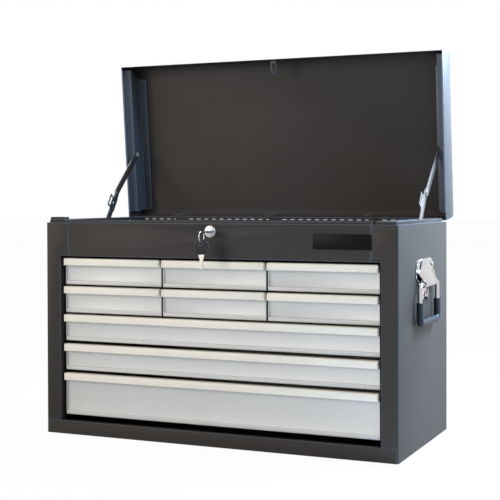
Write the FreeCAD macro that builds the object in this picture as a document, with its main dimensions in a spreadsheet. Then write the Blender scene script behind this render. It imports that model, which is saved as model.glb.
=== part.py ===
import FreeCAD, Part
import math
import os
import re

import Sketcher
from FreeCAD import Vector

# A nine-drawer steel tool chest with a till under a hinged lid, standing open.
# Frame: X to the right, Y to the back, Z up, origin at the middle of the base's footprint.
# The front face is at Y = -chest_depth/2.  Millimetres and degrees.

SIZES = {
    # case
    "chest_width": 660.0, "chest_depth": 308.0, "case_height": 381.0, "gauge": 1.0, "snap": 0.01,
    "stile_width": 29.0, "stile_return": 17.0, "rear_flange": 12.0,
    "tab_width": 45.0, "tab_height": 54.0, "tab_seam": 0.6,
    "toe_height": 24.0, "toe_corner": 2.6, "toe_return": 12.0, "header_height": 60.0, "header_step": 6.0,
    "lip_height": 4.8, "back_drop": 1.0, "corner_radius": 2.0,
    "relief_depth": 2.0, "relief_length": 12.0,
    "till_depth": 58.0, "till_flange": 10.0, "badge_width": 100.0, "badge_height": 25.0,
    "badge_thick": 1.2, "badge_side_gap": 44.4, "badge_top_gap": 15.7,
    # rim rails and tool rack
    "rim_width": 34.0, "rim_height": 5.5, "rim_block_height": 10.0,
    "rim_block_depth": 16.0, "rim_block_width": 29.0, "rim_block_inset": 1.5, "rim_inset": 4.0,
    "rim_front_gap": 5.0, "rim_rear_gap": 18.0,
    "rim_slot_front": 48.0, "rim_slot_rear": 222.0, "rim_slot_width": 9.0,
    "rim_slot_margin": 3.2,
    "rack_setback": 16.0, "rack_height": 12.5, "rack_top": 6.5, "rack_pitch": 16.7,
    "rack_slot": 8.5, "rack_border": 1.6,
    # hinges
    "hinge_pitch": 203.0, "hinge_shift": -8.5, "hinge_inset": 2.2, "hinge_rise": 4.4,
    "knuckle_radius": 2.6, "pin_radius": 1.2, "pin_clearance": 0.05, "lid_leaf_width": 43.0,
    "case_leaf_width": 27.0, "leaf_thick": 1.2, "leaf_return": 8.6, "lid_leaf_depth": 16.0,
    "case_leaf_depth": 24.0, "knuckle_gap": 0.4,
    # lid
    "lid_overhang": 1.3, "lid_depth": 54.0, "lid_gap": 0.3, "lid_bend": 13.0, "lid_open": 84.5,
    "channel_hem": 2.0, "channel_lip": 9.5, "channel_step": 11.0, "channel_drop": 3.5,
    "channel_draft": 2.5, "channel_flange": 15.0, "channel_end": 6.0, "channel_mitre": 20.0,
    "catch_width": 13.0, "catch_reach": 27.0, "catch_rise": 9.0,
    "catch_thick": 1.2, "catch_foot": 14.0, "catch_frame": 3.5, "catch_neck": 8.75,
    # stays
    "stay_pivot_depth": 166.9, "stay_pivot_drop": 29.2, "lower_link": 100.0,
    "stay_slack": 1.22, "stay_lid_reach": 127.6, "stay_lid_rise": 16.2, "link_width": 15.0,
    "link_thick": 1.6, "link_gap": 0.4, "stay_inset": 14.8, "rivet_radius": 2.0,
    "rivet_head": 4.0, "rivet_head_thick": 0.8, "rivet_clearance": 0.05, "stop_place": 76.0,
    "stop_length": 30.0, "lever_reach": 13.0, "lever_slot": 5.0, "lever_wall": 3.5,
    "bracket_height": 20.0, "bracket_width": 24.0, "bracket_inset": 11.8,
    # drawers
    "drawer_gap": 4.0, "drawer_side_gap": 5.0, "row_gap_upper": 2.8, "row_gap_lower": 4.8,
    "shallow_front": 48.0, "deep_front": 76.3, "column_gap": 4.0, "front_setback": 14.0, "band_height": 7.0,
    "band_step": 3.5, "drawer_back_gap": 22.0, "tray_drop": 9.0, "tray_inset": 5.0,
    "tray_lift": 3.0, "runner_gap": 0.3, "runner_side_gap": 1.0, "runner_drop": 14.0,
    "runner_back_gap": 12.0, "partition_setback": 20.0, "partition_flange": 8.0,
    "pull_height": 13.0, "pull_depth": 13.0, "pull_wall": 1.5, "pull_cap": 5.0,
    # lock and keys
    "lock_x": -1.0, "lock_drop": 13.5, "bezel_radius": 11.0, "bezel_depth": 3.0,
    "lock_body_radius": 9.0, "lock_body_length": 28.0, "plug_radius": 6.0,
    "plug_clearance": 0.05, "key_gap": 0.15, "key_thick": 2.4, "key_head_length": 25.0,
    "key_head_width": 26.0, "key_neck": 7.0, "key_blade_width": 7.0, "key_blade_length": 24.0,
    "key_hole_radius": 3.6, "key_bridge": 3.0, "blade_thick": 1.8, "ring_radius": 9.5,
    "ring_wire": 0.7, "ring_play": 0.15, "cam_thick": 2.0, "cam_width": 7.0,
    "hook_reach": 8.0, "hook_thick": 2.0, "hook_rise": 1.5,
    # side handles
    "handle_drop": 102.0, "handle_standoff": 8.0, "bail_wire": 4.0, "bail_width": 111.0,
    "bail_drop": 65.0, "bail_bend": 9.0, "grip_radius": 6.0, "grip_top": 30.0,
    "bail_tail": 12.0, "barrel_radius": 6.2, "barrel_length": 66.0, "barrel_clearance": 0.1,
    "plate_thick": 1.5, "plate_rise": 42.0, "plate_width": 109.0, "plate_corner": 22.0, "neck_rise": 11.0,
    "flap_width": 62.0, "flap_corner": 20.0, "shoulder_width": 103.0, "shoulder_rise": 19.5,
    "shoulder_slope": 8.0,
    "flap_gap": 2.5, "foot_width": 44.0, "foot_drop": 28.0, "foot_corner": 8.0, "handle_rivet": 4.0,
    "handle_rivet_rise": 2.0, "rivet_reach": 47.0, "rivet_rise": 30.5, "rivet_drop": 20.0,
}

doc = FreeCAD.newDocument("ToolChest")
sheet = doc.addObject("Spreadsheet::Sheet", "Sizes")
for line, (alias, size) in enumerate(SIZES.items(), start=1):
    sheet.set(f"A{line}", alias)
    sheet.set(f"B{line}", str(size))
    sheet.setAlias(f"B{line}", alias)
doc.recompute()

subparts = []


def cells(text):
    """Point every size name in an expression at its cell of the sheet."""
    return re.sub(r"[a-z]\w*", lambda m: f"Sizes.{m[0]}" if m[0] in SIZES else m[0], str(text))


def number(text):
    """The present value of an expression in the sheet's sizes."""
    result = sheet.evalExpression(cells(text))
    return float(getattr(result, "Value", result))


def near(one, other):
    """Whether two places are the same within the drawing's tolerance."""
    return abs(one - other) < number("snap")


def bind(item, **properties):
    """Bind properties of an object to expressions; Base_x stands for Placement.Base.x."""
    paths = {"Base_x": "Placement.Base.x", "Base_y": "Placement.Base.y",
             "Base_z": "Placement.Base.z", "Angle": "Placement.Rotation.Angle"}
    for name, text in properties.items():
        item.setExpression(paths.get(name, name), cells(text))
    return item


def box(name, x, y, z):
    """A block between two expressions along each axis."""
    block = doc.addObject("Part::Box", name)
    return bind(block, Length=f"({x[1]}) - ({x[0]})", Width=f"({y[1]}) - ({y[0]})",
                Height=f"({z[1]}) - ({z[0]})", Base_x=x[0], Base_y=y[0], Base_z=z[0])


TURNS = {"X": (Vector(0, 1, 0), 90), "Y": (Vector(1, 0, 0), -90), "Z": (Vector(0, 0, 1), 0)}


def rod(name, axis, start, radius, length):
    """A round bar along an axis, from a start point given as three expressions."""
    bar = doc.addObject("Part::Cylinder", name)
    bar.Placement = FreeCAD.Placement(Vector(), FreeCAD.Rotation(*TURNS[axis]))
    return bind(bar, Radius=radius, Height=length, Base_x=start[0], Base_y=start[1],
                Base_z=start[2])


def fuse(name, *pieces):
    """Several pieces welded into one."""
    union = doc.addObject("Part::MultiFuse", name)
    union.Shapes = list(pieces)
    return union


def cut(name, base, *tools):
    """A piece with others taken away from it."""
    tool = tools[0] if len(tools) == 1 else fuse(name + "_tools", *tools)
    result = doc.addObject("Part::Cut", name)
    result.Base, result.Tool = base, tool
    return result


def group(name, *pieces):
    """Separate identical pieces kept together."""
    compound = doc.addObject("Part::Compound", name)
    compound.Links = list(pieces)
    return compound


def sketch_on(body, role, name, points):
    """A closed outline of straight lines, every corner held by the sheet's sizes."""
    plane = [item for item in body.Origin.OriginFeatures if item.Role == role][0]
    sketch = body.newObject("Sketcher::SketchObject", name)
    sketch.AttachmentSupport = [(plane, "")]
    sketch.MapMode = "FlatFace"
    places = [(number(across), number(up)) for across, up in points]
    count = len(points)
    for index, place in enumerate(places):
        after = places[(index + 1) % count]
        sketch.addGeometry(Part.LineSegment(Vector(*place, 0), Vector(*after, 0)), False)
    for index in range(count):
        sketch.addConstraint(Sketcher.Constraint("Coincident", index, 2, (index + 1) % count, 1))
    for index, point in enumerate(points):
        for kind, text, value in zip(("DistanceX", "DistanceY"), point, places[index]):
            held = sketch.addConstraint(Sketcher.Constraint(kind, -1, 1, index, 1, value))
            sketch.setExpression(f"Constraints[{held}]", cells(text))
    return sketch


def pad(body, sketch, length, both_ways=False, reverse=False):
    """Pad a sketch by an expression."""
    feature = body.newObject("PartDesign::Pad", sketch.Name + "_pad")
    feature.Profile = sketch
    feature.SideType = "Symmetric" if both_ways else "One side"
    feature.Reversed = reverse
    return bind(feature, Length=length)


def folded(name, role, points, length, both_ways=True, reverse=False):
    """A sheet-metal section padded to its length."""
    body = doc.addObject("PartDesign::Body", name)
    pad(body, sketch_on(body, role, name + "_section", points), length, both_ways, reverse)
    return body


def round_edges(body, radius, wanted):
    """Fillet the edges of a body's tip whose middle point passes a test."""
    doc.recompute()
    tip = body.Tip
    names = [f"Edge{index}" for index, edge in enumerate(tip.Shape.Edges, start=1) if wanted(edge)]
    feature = body.newObject("PartDesign::Fillet", body.Name + "_bend")
    feature.Base = (tip, names)
    bind(feature, Radius=radius)
    return body


def keep(item, name):
    """Register a finished sub-part under its file name."""
    for other in doc.getObjectsByLabel(name):
        if other != item:
            other.Label = name + "_blank"
    item.Label = name
    subparts.append(item)
    return item


FRONT = "(-chest_depth / 2)"
BACK = "(chest_depth / 2)"
HALF = "(chest_width / 2)"
OPENING = "(chest_width / 2 - stile_width)"
HEADER_FOOT = "(case_height - header_height)"
TILL_FLOOR = "(case_height - till_depth)"
LOCK_Z = "(case_height - lock_drop)"
HANDLE_Z = "(case_height - handle_drop)"
STAY = f"({HALF} - stay_inset)"
BRACKET = f"({HALF} - bracket_inset)"
SIDES = (("left", -1), ("right", 1))


def mirrored(side, points):
    """Points across X on one side of the chest."""
    return [(f"{side} * ({across})", along) for across, along in points]


def span(side, inner, outer):
    """A low-to-high pair of X expressions on one side of the chest."""
    return (inner, outer) if side > 0 else (f"-({outer})", f"-({inner})")


# ---------------------------------------------------------------- case shell
def side_panel(word, side):
    """Outer wall, front stile with its return, rear flange and the wide tab at the top."""
    name = f"side_panel_{word}"
    inner = f"{HALF} - gauge"
    section = [(HALF, FRONT), (OPENING, FRONT), (OPENING, f"{FRONT} + stile_return"),
               (f"{OPENING} + gauge", f"{FRONT} + stile_return"),
               (f"{OPENING} + gauge", f"{FRONT} + gauge"), (inner, f"{FRONT} + gauge"),
               (inner, f"{BACK} - 2 * gauge"), (f"{inner} - rear_flange", f"{BACK} - 2 * gauge"),
               (f"{inner} - rear_flange", f"{BACK} - gauge"), (HALF, f"{BACK} - gauge")]
    body = folded(name, "XY_Plane", mirrored(side, section), "case_height", both_ways=False)
    window = mirrored(side, [(f"{OPENING} - 1", f"{FRONT} + gauge"),
                             (f"{inner} - 1", f"{FRONT} + gauge"),
                             (f"{inner} - 1", f"{FRONT} + stile_return + 1"),
                             (f"{OPENING} - 1", f"{FRONT} + stile_return + 1")])
    opening = sketch_on(body, "XY_Plane", name + "_opening", window)
    bind(opening, **{"AttachmentOffset.Base.z": HEADER_FOOT})
    feature = body.newObject("PartDesign::Pocket", name + "_opening_cut")
    feature.Profile = opening
    feature.Reversed = True
    bind(feature, Length="header_height + 1")
    foot = "case_height - tab_height"
    tab = sketch_on(body, "XZ_Plane", name + "_tab", mirrored(side, [
        (f"{HALF} - tab_width", foot), (f"{OPENING} + gauge", foot),
        (f"{OPENING} + gauge", "case_height"), (f"{HALF} - tab_width", "case_height")]))
    bind(tab, **{"AttachmentOffset.Base.z": "chest_depth / 2"})
    pad(body, tab, "gauge", reverse=True)
    edge_x, edge_y = side * number(HALF), number(FRONT)
    round_edges(body, "corner_radius", lambda edge: near(edge.CenterOfMass.x, edge_x)
                and near(edge.CenterOfMass.y, edge_y))
    foot = box(name + "_toe_gap", span(side, f"{OPENING} - 1", f"{HALF} - toe_corner"),
               (f"{FRONT} - 1", f"{FRONT} + stile_return + 2 * gauge"), ("-1", "toe_height + tab_seam"))
    relief = box(name + "_rear_relief", span(side, f"{inner} - rear_flange - 1", f"{HALF} + 1"),
                 (f"{BACK} - relief_length", f"{BACK} + 1"),
                 ("case_height - relief_depth", "case_height + 1"))
    keep(cut(name + "_shape", body, foot, relief), name)


def back_panel():
    """A flat sheet lapped over the side panels' rear flanges."""
    body = folded("back_panel", "XZ_Plane", [
        (f"-{HALF}", "0"), (HALF, "0"), (HALF, "case_height - back_drop"),
        (f"-{HALF}", "case_height - back_drop")], "gauge", both_ways=False)
    bind(body, Base_y=BACK)
    keep(body, "back_panel")


def base_pan():
    """Floor of the case with the toe rail folded up between the stiles."""
    toe = [(FRONT, "0"), (f"{FRONT} + stile_return + gauge", "0"),
           (f"{FRONT} + stile_return + gauge", "gauge"), (f"{FRONT} + gauge", "gauge"),
           (f"{FRONT} + gauge", "toe_height - gauge"), (f"{FRONT} + toe_return", "toe_height - gauge"),
           (f"{FRONT} + toe_return", "toe_height"), (FRONT, "toe_height")]
    body = folded("base_pan", "YZ_Plane", toe, f"2 * ({HALF} - toe_corner - tab_seam)")
    inner = f"({HALF} - gauge)"
    floor = sketch_on(body, "XY_Plane", "base_floor", [
        (f"-{inner}", f"{FRONT} + stile_return"), (inner, f"{FRONT} + stile_return"),
        (inner, f"{BACK} - 2 * gauge"), (f"-{inner}", f"{BACK} - 2 * gauge")])
    pad(body, floor, "gauge")
    keep(body, "base_pan")


def header_rail():
    """Top rail: flush face between the side tabs, joggled ends, and a raised hemmed lip."""
    face = f"({HALF} - tab_width - tab_seam)"
    step = f"{FRONT} + header_step"
    section = [(FRONT, HEADER_FOOT), (f"{FRONT} + stile_return", HEADER_FOOT),
               (f"{FRONT} + stile_return", f"{HEADER_FOOT} + gauge"),
               (f"{FRONT} + gauge", f"{HEADER_FOOT} + gauge"),
               (f"{FRONT} + gauge", "case_height - gauge"),
               (f"{step} + gauge", "case_height - gauge"),
               (f"{step} + gauge", "case_height + lip_height"),
               (f"{step} - gauge", "case_height + lip_height"),
               (f"{step} - gauge", "case_height + lip_height / 2"),
               (step, "case_height + lip_height / 2"), (step, "case_height"),
               (FRONT, "case_height")]
    body = folded("header_rail", "YZ_Plane", section, f"2 * {face}")
    wing = [(f"{FRONT} + gauge", HEADER_FOOT), (f"{FRONT} + stile_return", HEADER_FOOT),
            (f"{FRONT} + stile_return", f"{HEADER_FOOT} + gauge"),
            (f"{FRONT} + 2 * gauge", f"{HEADER_FOOT} + gauge"),
            (f"{FRONT} + 2 * gauge", "case_height"), (f"{FRONT} + gauge", "case_height")]
    pad(body, sketch_on(body, "YZ_Plane", "header_wing", wing), f"2 * ({HALF} - gauge)", True)
    top = number("case_height")
    front = number(FRONT)
    round_edges(body, "gauge", lambda edge: near(edge.CenterOfMass.z, top)
                and near(edge.CenterOfMass.y, front))
    hole = rod("header_lock_hole", "Y", ("lock_x", f"{FRONT} - 1", LOCK_Z),
               "lock_body_radius", "3 * gauge + 1")
    keep(cut("header_rail_cut", body, hole), "header_rail")


def till_floor():
    """Tray floor under the lid, with upturned ends."""
    inner = f"({HALF} - gauge)"
    section = [(f"-{inner}", TILL_FLOOR), (inner, TILL_FLOOR), (inner, f"{TILL_FLOOR} + till_flange"),
               (f"{inner} - gauge", f"{TILL_FLOOR} + till_flange"),
               (f"{inner} - gauge", f"{TILL_FLOOR} + gauge"),
               (f"-{inner} + gauge", f"{TILL_FLOOR} + gauge"),
               (f"-{inner} + gauge", f"{TILL_FLOOR} + till_flange"),
               (f"-{inner}", f"{TILL_FLOOR} + till_flange")]
    body = folded("till_floor", "XZ_Plane", section, "chest_depth - 4 * gauge", both_ways=False)
    bind(body, Base_y=f"{BACK} - 2 * gauge")
    keep(body, "till_floor")


def rim_rail(word, side):
    """Box rail on top of a side wall, slotted along its length for the lid stay."""
    outer = f"({HALF} - rim_inset)"
    inner = f"({HALF} - rim_inset - rim_width)"
    along = (f"{FRONT} + rim_front_gap", f"{BACK} - rim_rear_gap")
    name = f"rim_rail_{word}"
    block = box(name + "_block", span(side, inner, outer), along,
                ("case_height", "case_height + rim_height"))
    skirt = box(name + "_skirt", span(side, f"{outer} - gauge", outer), along,
                ("case_height - till_flange", "case_height"))
    foot = box(name + "_foot", span(side, outer, f"{HALF} - gauge"), along,
               ("case_height - till_flange", "case_height - till_flange + gauge"))
    hollow = box(name + "_hollow", span(side, f"{inner} + gauge", f"{outer} - gauge"),
                 (f"{along[0]} + gauge", f"{along[1]} + 1"),
                 ("case_height - 1", "case_height + rim_height - gauge"))
    slot = box(name + "_slot", span(side, f"{STAY} + rim_slot_margin - rim_slot_width",
                                f"{STAY} + rim_slot_margin"),
               (f"{FRONT} + rim_slot_front", f"{FRONT} + rim_slot_rear"),
               ("case_height", "case_height + rim_height + 1"))
    body = cut(name + "_body", fuse(name + "_blank", block, skirt, foot), hollow, slot)
    if side < 0:
        rest = box(name + "_rest", (f"-({outer} - rim_block_inset)",
                                    f"rim_block_inset + rim_block_width - {outer}"),
                   (along[0], f"{along[0]} + rim_block_depth"),
                   ("case_height + rim_height", "case_height + rim_block_height"))
        body = fuse(name + "_with_rest", body, rest)
    keep(body, name)


def tool_rack():
    """Slotted strip along the back of the till."""
    face = f"({BACK} - rack_setback)"
    top = "(case_height + rack_top)"
    long = f"({HALF} - gauge - rear_flange - 1)"
    rear = f"({BACK} - gauge - leaf_thick)"
    section = [(face, f"{top} - rack_height"), (rear, f"{top} - rack_height"),
               (rear, f"{top} - rack_height + gauge"),
               (f"{face} + gauge", f"{top} - rack_height + gauge"), (f"{face} + gauge", top), (face, top)]
    strip = folded("tool_rack_strip", "YZ_Plane", section, f"2 * {long}")
    steps = int(number(f"({long} - rack_slot) / rack_pitch"))
    slots = []
    for step in range(-steps, steps + 1):
        middle = f"({step} * rack_pitch)"
        slots.append(box(f"rack_slot_{step + steps}",
                         (f"{middle} - rack_slot / 2", f"{middle} + rack_slot / 2"),
                         (f"{face} - 1", f"{face} + gauge + 1"),
                         (f"{top} - rack_height + 2 * gauge", f"{top} - rack_border")))
    keep(cut("tool_rack", strip, group("rack_slots", *slots)), "tool_rack_strip")


def badge_plate():
    """Bare plate on the right of the top rail."""
    right = f"({HALF} - badge_side_gap)"
    top = "(case_height - badge_top_gap)"
    keep(box("badge_plate", (f"{right} - badge_width", right), (f"{FRONT} - badge_thick", FRONT),
             (f"{top} - badge_height", top)), "badge_plate")


# ---------------------------------------------------------------- hinges and lid
# The lid is drawn shut around its hinge line, then turned open by lid_open.
HINGE_PLACES = [f"(hinge_shift + {step} * hinge_pitch)" for step in (-1, 0, 1)]
AXIS_Y = f"({BACK} - hinge_inset)"
AXIS_Z = "(case_height + hinge_rise)"
RIM = "(lid_gap - hinge_rise)"
REAR = "hinge_inset"
LID_FRONT = "(hinge_inset - chest_depth)"
LID_HALF = "(chest_width / 2 + lid_overhang)"


def opened(item):
    """Stand a piece of the lid, drawn shut about its hinge line, in the open position."""
    item.Placement = FreeCAD.Placement(Vector(), FreeCAD.Rotation(Vector(-1, 0, 0), 1))
    return bind(item, Angle="lid_open", Base_y=AXIS_Y, Base_z=AXIS_Z)


def lid_skin():
    """Top panel with its front and rear walls, notched for the hinge knuckles."""
    crown = f"({RIM} + lid_depth)"
    body = folded("lid_skin", "YZ_Plane", [
        (LID_FRONT, RIM), (f"{LID_FRONT} + gauge", RIM), (f"{LID_FRONT} + gauge", f"{crown} - gauge"),
        (f"{REAR} - gauge", f"{crown} - gauge"), (f"{REAR} - gauge", RIM), (REAR, RIM),
        (REAR, crown), (LID_FRONT, crown)], f"2 * ({LID_HALF} - gauge)")
    high, rear, front, wall = number(crown), number(REAR), number(LID_FRONT), number("gauge")

    def outer(edge):
        middle = edge.CenterOfMass
        return near(middle.z, high) and (near(middle.y, rear) or near(middle.y, front))

    def inner(edge):
        middle = edge.CenterOfMass
        return near(middle.z, high - wall) and (near(middle.y, rear - wall) or near(middle.y, front + wall))

    round_edges(body, "lid_bend", outer)
    round_edges(body, "lid_bend - gauge", inner)
    notches = [box(f"hinge_notch_{index}", (f"{place} - lid_leaf_width / 2 - knuckle_gap",
                                            f"{place} + lid_leaf_width / 2 + knuckle_gap"),
                   (f"{REAR} - 2 * gauge", f"{REAR} + 1"), (f"{RIM} - 1", "knuckle_radius + knuckle_gap"))
               for index, place in enumerate(HINGE_PLACES)]
    keep(opened(cut("lid_skin_cut", body, group("hinge_notches", *notches))), "lid_skin")


def lid_end(word, side):
    """Flat end wall with the skin's rounded outline."""
    crown = f"({RIM} + lid_depth)"
    name = f"lid_end_{word}"
    body = folded(name, "YZ_Plane", [(LID_FRONT, RIM), (REAR, RIM), (REAR, crown), (LID_FRONT, crown)],
                  "gauge", both_ways=False)
    high = number(crown)
    round_edges(body, "lid_bend", lambda edge: near(edge.CenterOfMass.z, high)
                and edge.Length < 2 * number("gauge"))
    opened(body)
    bind(body, Base_x=f"{LID_HALF} - gauge" if side > 0 else f"-{LID_HALF}")
    keep(body, name)


def lid_channel(word, side):
    """Folded stiffener inside the end wall, its front end cut on a slant."""
    name = f"lid_channel_{word}"
    wall = f"({LID_HALF} - gauge)"
    hem = f"({wall} - channel_hem)"
    step = f"({hem} - channel_step)"
    drop = f"({step} + channel_draft)"
    lip = f"({RIM} + channel_lip)"
    low, high = f"({RIM} + channel_lip + channel_drop)", f"({RIM} + lid_depth - gauge)"
    section = [(hem, RIM), (hem, lip), (step, low), (drop, f"{high} - gauge"),
               (f"{drop} - channel_flange", f"{high} - gauge"), (f"{drop} - channel_flange", high),
               (f"{drop} + gauge", high), (f"{step} + gauge", f"{low} + gauge"),
               (wall, f"{lip} + gauge"), (wall, RIM)]
    front, rear = f"({LID_FRONT} + gauge + channel_end)", f"({REAR} - gauge - lid_bend)"
    body = folded(name, "XZ_Plane", mirrored(side, section), f"{rear} - {front}", both_ways=False)
    bind(body, Base_y=rear)
    corner = folded(name + "_mitre", "YZ_Plane", [
        (f"{front} - 1", low), (front, low), (f"{front} + channel_mitre", f"{high} + 1"),
        (f"{front} - 1", f"{high} + 1")], "chest_width + 10")
    bore = rod(name + "_rivet_bore", "X", (span(side, step, hem)[0], "-stay_lid_reach", "stay_lid_rise"),
               "rivet_radius", f"{hem} - {step}")
    keep(opened(cut(name + "_shape", body, corner, bore)), name)


def lid_catch():
    """Framed plate on the front wall that the lock's hook passes over."""
    x = ("lock_x - catch_width / 2", "lock_x + catch_width / 2")
    wall = f"({LID_FRONT} + gauge)"
    level = f"({RIM} + catch_rise)"
    plate = box("catch_plate", x, (wall, f"{wall} + catch_reach"), (level, f"{level} + catch_thick"))
    foot = box("catch_foot", x, (wall, f"{wall} + catch_thick"), (level, f"{level} + catch_foot"))
    window = box("catch_window", (f"{x[0]} + catch_frame", f"{x[1]} - catch_frame"),
                 (f"{wall} + catch_neck", f"{wall} + catch_reach - catch_frame"),
                 (f"{level} - 1", f"{level} + catch_thick + 1"))
    keep(opened(cut("catch", fuse("catch_blank", plate, foot), window)), "lid_catch")


def hinges():
    """Lid leaves with outer knuckles, case leaves with the middle knuckle, and the pins."""
    lid_leaves, case_leaves, pins = [], [], []
    for index, place in enumerate(HINGE_PLACES):
        wide, narrow = "lid_leaf_width / 2", "case_leaf_width / 2"
        inset = f"({REAR} - gauge)"
        leaf = box(f"lid_leaf_{index}", (f"{place} - {wide}", f"{place} + {wide}"),
                   (f"{inset} - leaf_thick", inset), ("0", "knuckle_radius + lid_leaf_depth"))
        rise = box(f"lid_leaf_return_{index}", (f"{place} - {wide}", f"{place} + {wide}"),
                   (f"{inset} - leaf_thick - leaf_return", f"{inset} - leaf_thick"),
                   ("knuckle_radius + knuckle_gap", "knuckle_radius + knuckle_gap + leaf_thick"))
        knuckle = rod(f"lid_knuckle_{index}", "X", (f"{place} - {wide}", "0", "0"),
                      "knuckle_radius", "lid_leaf_width")
        middle = box(f"lid_leaf_notch_{index}",
                     (f"{place} - {narrow} - knuckle_gap", f"{place} + {narrow} + knuckle_gap"),
                     ("-2 * knuckle_radius", "2 * knuckle_radius"),
                     ("-2 * knuckle_radius", "knuckle_radius + knuckle_gap"))
        bore = rod(f"lid_bore_{index}", "X", (f"{place} - lid_leaf_width", "0", "0"),
                   "pin_radius", "2 * lid_leaf_width")
        lid_leaves.append(cut(f"lid_hinge_{index}", fuse(f"lid_hinge_blank_{index}", leaf, rise, knuckle),
                              middle, bore))
        down = box(f"case_leaf_{index}", (f"{place} - {narrow}", f"{place} + {narrow}"),
                   (f"{BACK} - gauge - leaf_thick", f"{BACK} - gauge"),
                   (f"{AXIS_Z} - case_leaf_depth", AXIS_Z))
        centre = rod(f"case_knuckle_{index}", "X", (f"{place} - {narrow}", AXIS_Y, AXIS_Z),
                     "knuckle_radius", "case_leaf_width")
        way = rod(f"case_bore_{index}", "X", (f"{place} - lid_leaf_width", AXIS_Y, AXIS_Z),
                  "pin_radius + pin_clearance", "2 * lid_leaf_width")
        case_leaves.append(cut(f"case_hinge_{index}", fuse(f"case_hinge_blank_{index}", down, centre), way))
        pins.append(rod(f"hinge_pin_{index}", "X", (f"{place} - {wide}", AXIS_Y, AXIS_Z),
                        "pin_radius", "lid_leaf_width"))
    keep(opened(group("lid_leaves", *lid_leaves)), "hinge_lid_leaves")
    keep(group("case_leaves", *case_leaves), "hinge_case_leaves")
    keep(group("pins", *pins), "hinge_pins")


# ---------------------------------------------------------------- lid stays
# Each stay is two links riveted end to end: one turns on the lid, one on the case.
PIVOT_Y = "(stay_pivot_depth - chest_depth / 2)"
PIVOT_Z = "(case_height - stay_pivot_drop)"
TIP_Y = f"({AXIS_Y} - stay_lid_reach * cos(lid_open) + stay_lid_rise * sin(lid_open))"
TIP_Z = f"({AXIS_Z} + stay_lid_reach * sin(lid_open) + stay_lid_rise * cos(lid_open))"
STRAIGHT = f"hypot({TIP_Y} - {PIVOT_Y}; {TIP_Z} - {PIVOT_Z})"
UPPER_LINK = f"({STRAIGHT} - lower_link + stay_slack)"
COSINE = (f"(lower_link * lower_link + {STRAIGHT} * {STRAIGHT} - {UPPER_LINK} * {UPPER_LINK})"
          f" / (2 * lower_link * {STRAIGHT})")
LOWER_ANGLE = f"(atan2({TIP_Z} - {PIVOT_Z}; {TIP_Y} - {PIVOT_Y}) + acos({COSINE}))"
ELBOW_Y = f"({PIVOT_Y} + lower_link * cos({LOWER_ANGLE}))"
ELBOW_Z = f"({PIVOT_Z} + lower_link * sin({LOWER_ANGLE}))"
UPPER_ANGLE = f"(atan2({ELBOW_Z} - {TIP_Z}; {ELBOW_Y} - {TIP_Y}))"
OUTER_LINK = (f"{STAY} + link_gap / 2", f"{STAY} + link_gap / 2 + link_thick")
INNER_LINK = (f"{STAY} - link_gap / 2 - link_thick", f"{STAY} - link_gap / 2")


def link(name, side, plane, length, pivot_bore, head_outside):
    """A flat bar with round ends, bored at its pivot and half of the elbow rivet at its tip."""
    low, high = span(side, *plane)
    bar = box(name + "_bar", (low, high), ("0", length), ("-link_width / 2", "link_width / 2"))
    ends = [rod(f"{name}_end_{index}", "X", (low, along, "0"), "link_width / 2", "link_thick")
            for index, along in enumerate(("0", length))]
    bore = rod(name + "_bore", "X", (f"{low} - 1", "0", "0"), pivot_bore, "link_thick + 2")
    near, far = plane
    start = (far, f"{far} + rivet_head_thick") if head_outside else (f"{near} - rivet_head_thick", near)
    head = rod(name + "_head", "X", (span(side, *start)[0], length, "0"), "rivet_head",
               "rivet_head_thick")
    return fuse(name, cut(name + "_plate", fuse(name + "_blank", bar, *ends), bore), head)


def turned(item, angle, place):
    """Swing a link about X to its angle and put its pivot in place."""
    item.Placement = FreeCAD.Placement(Vector(), FreeCAD.Rotation(Vector(1, 0, 0), 1))
    return bind(item, Angle=angle, Base_y=place[0], Base_z=place[1])


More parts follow.
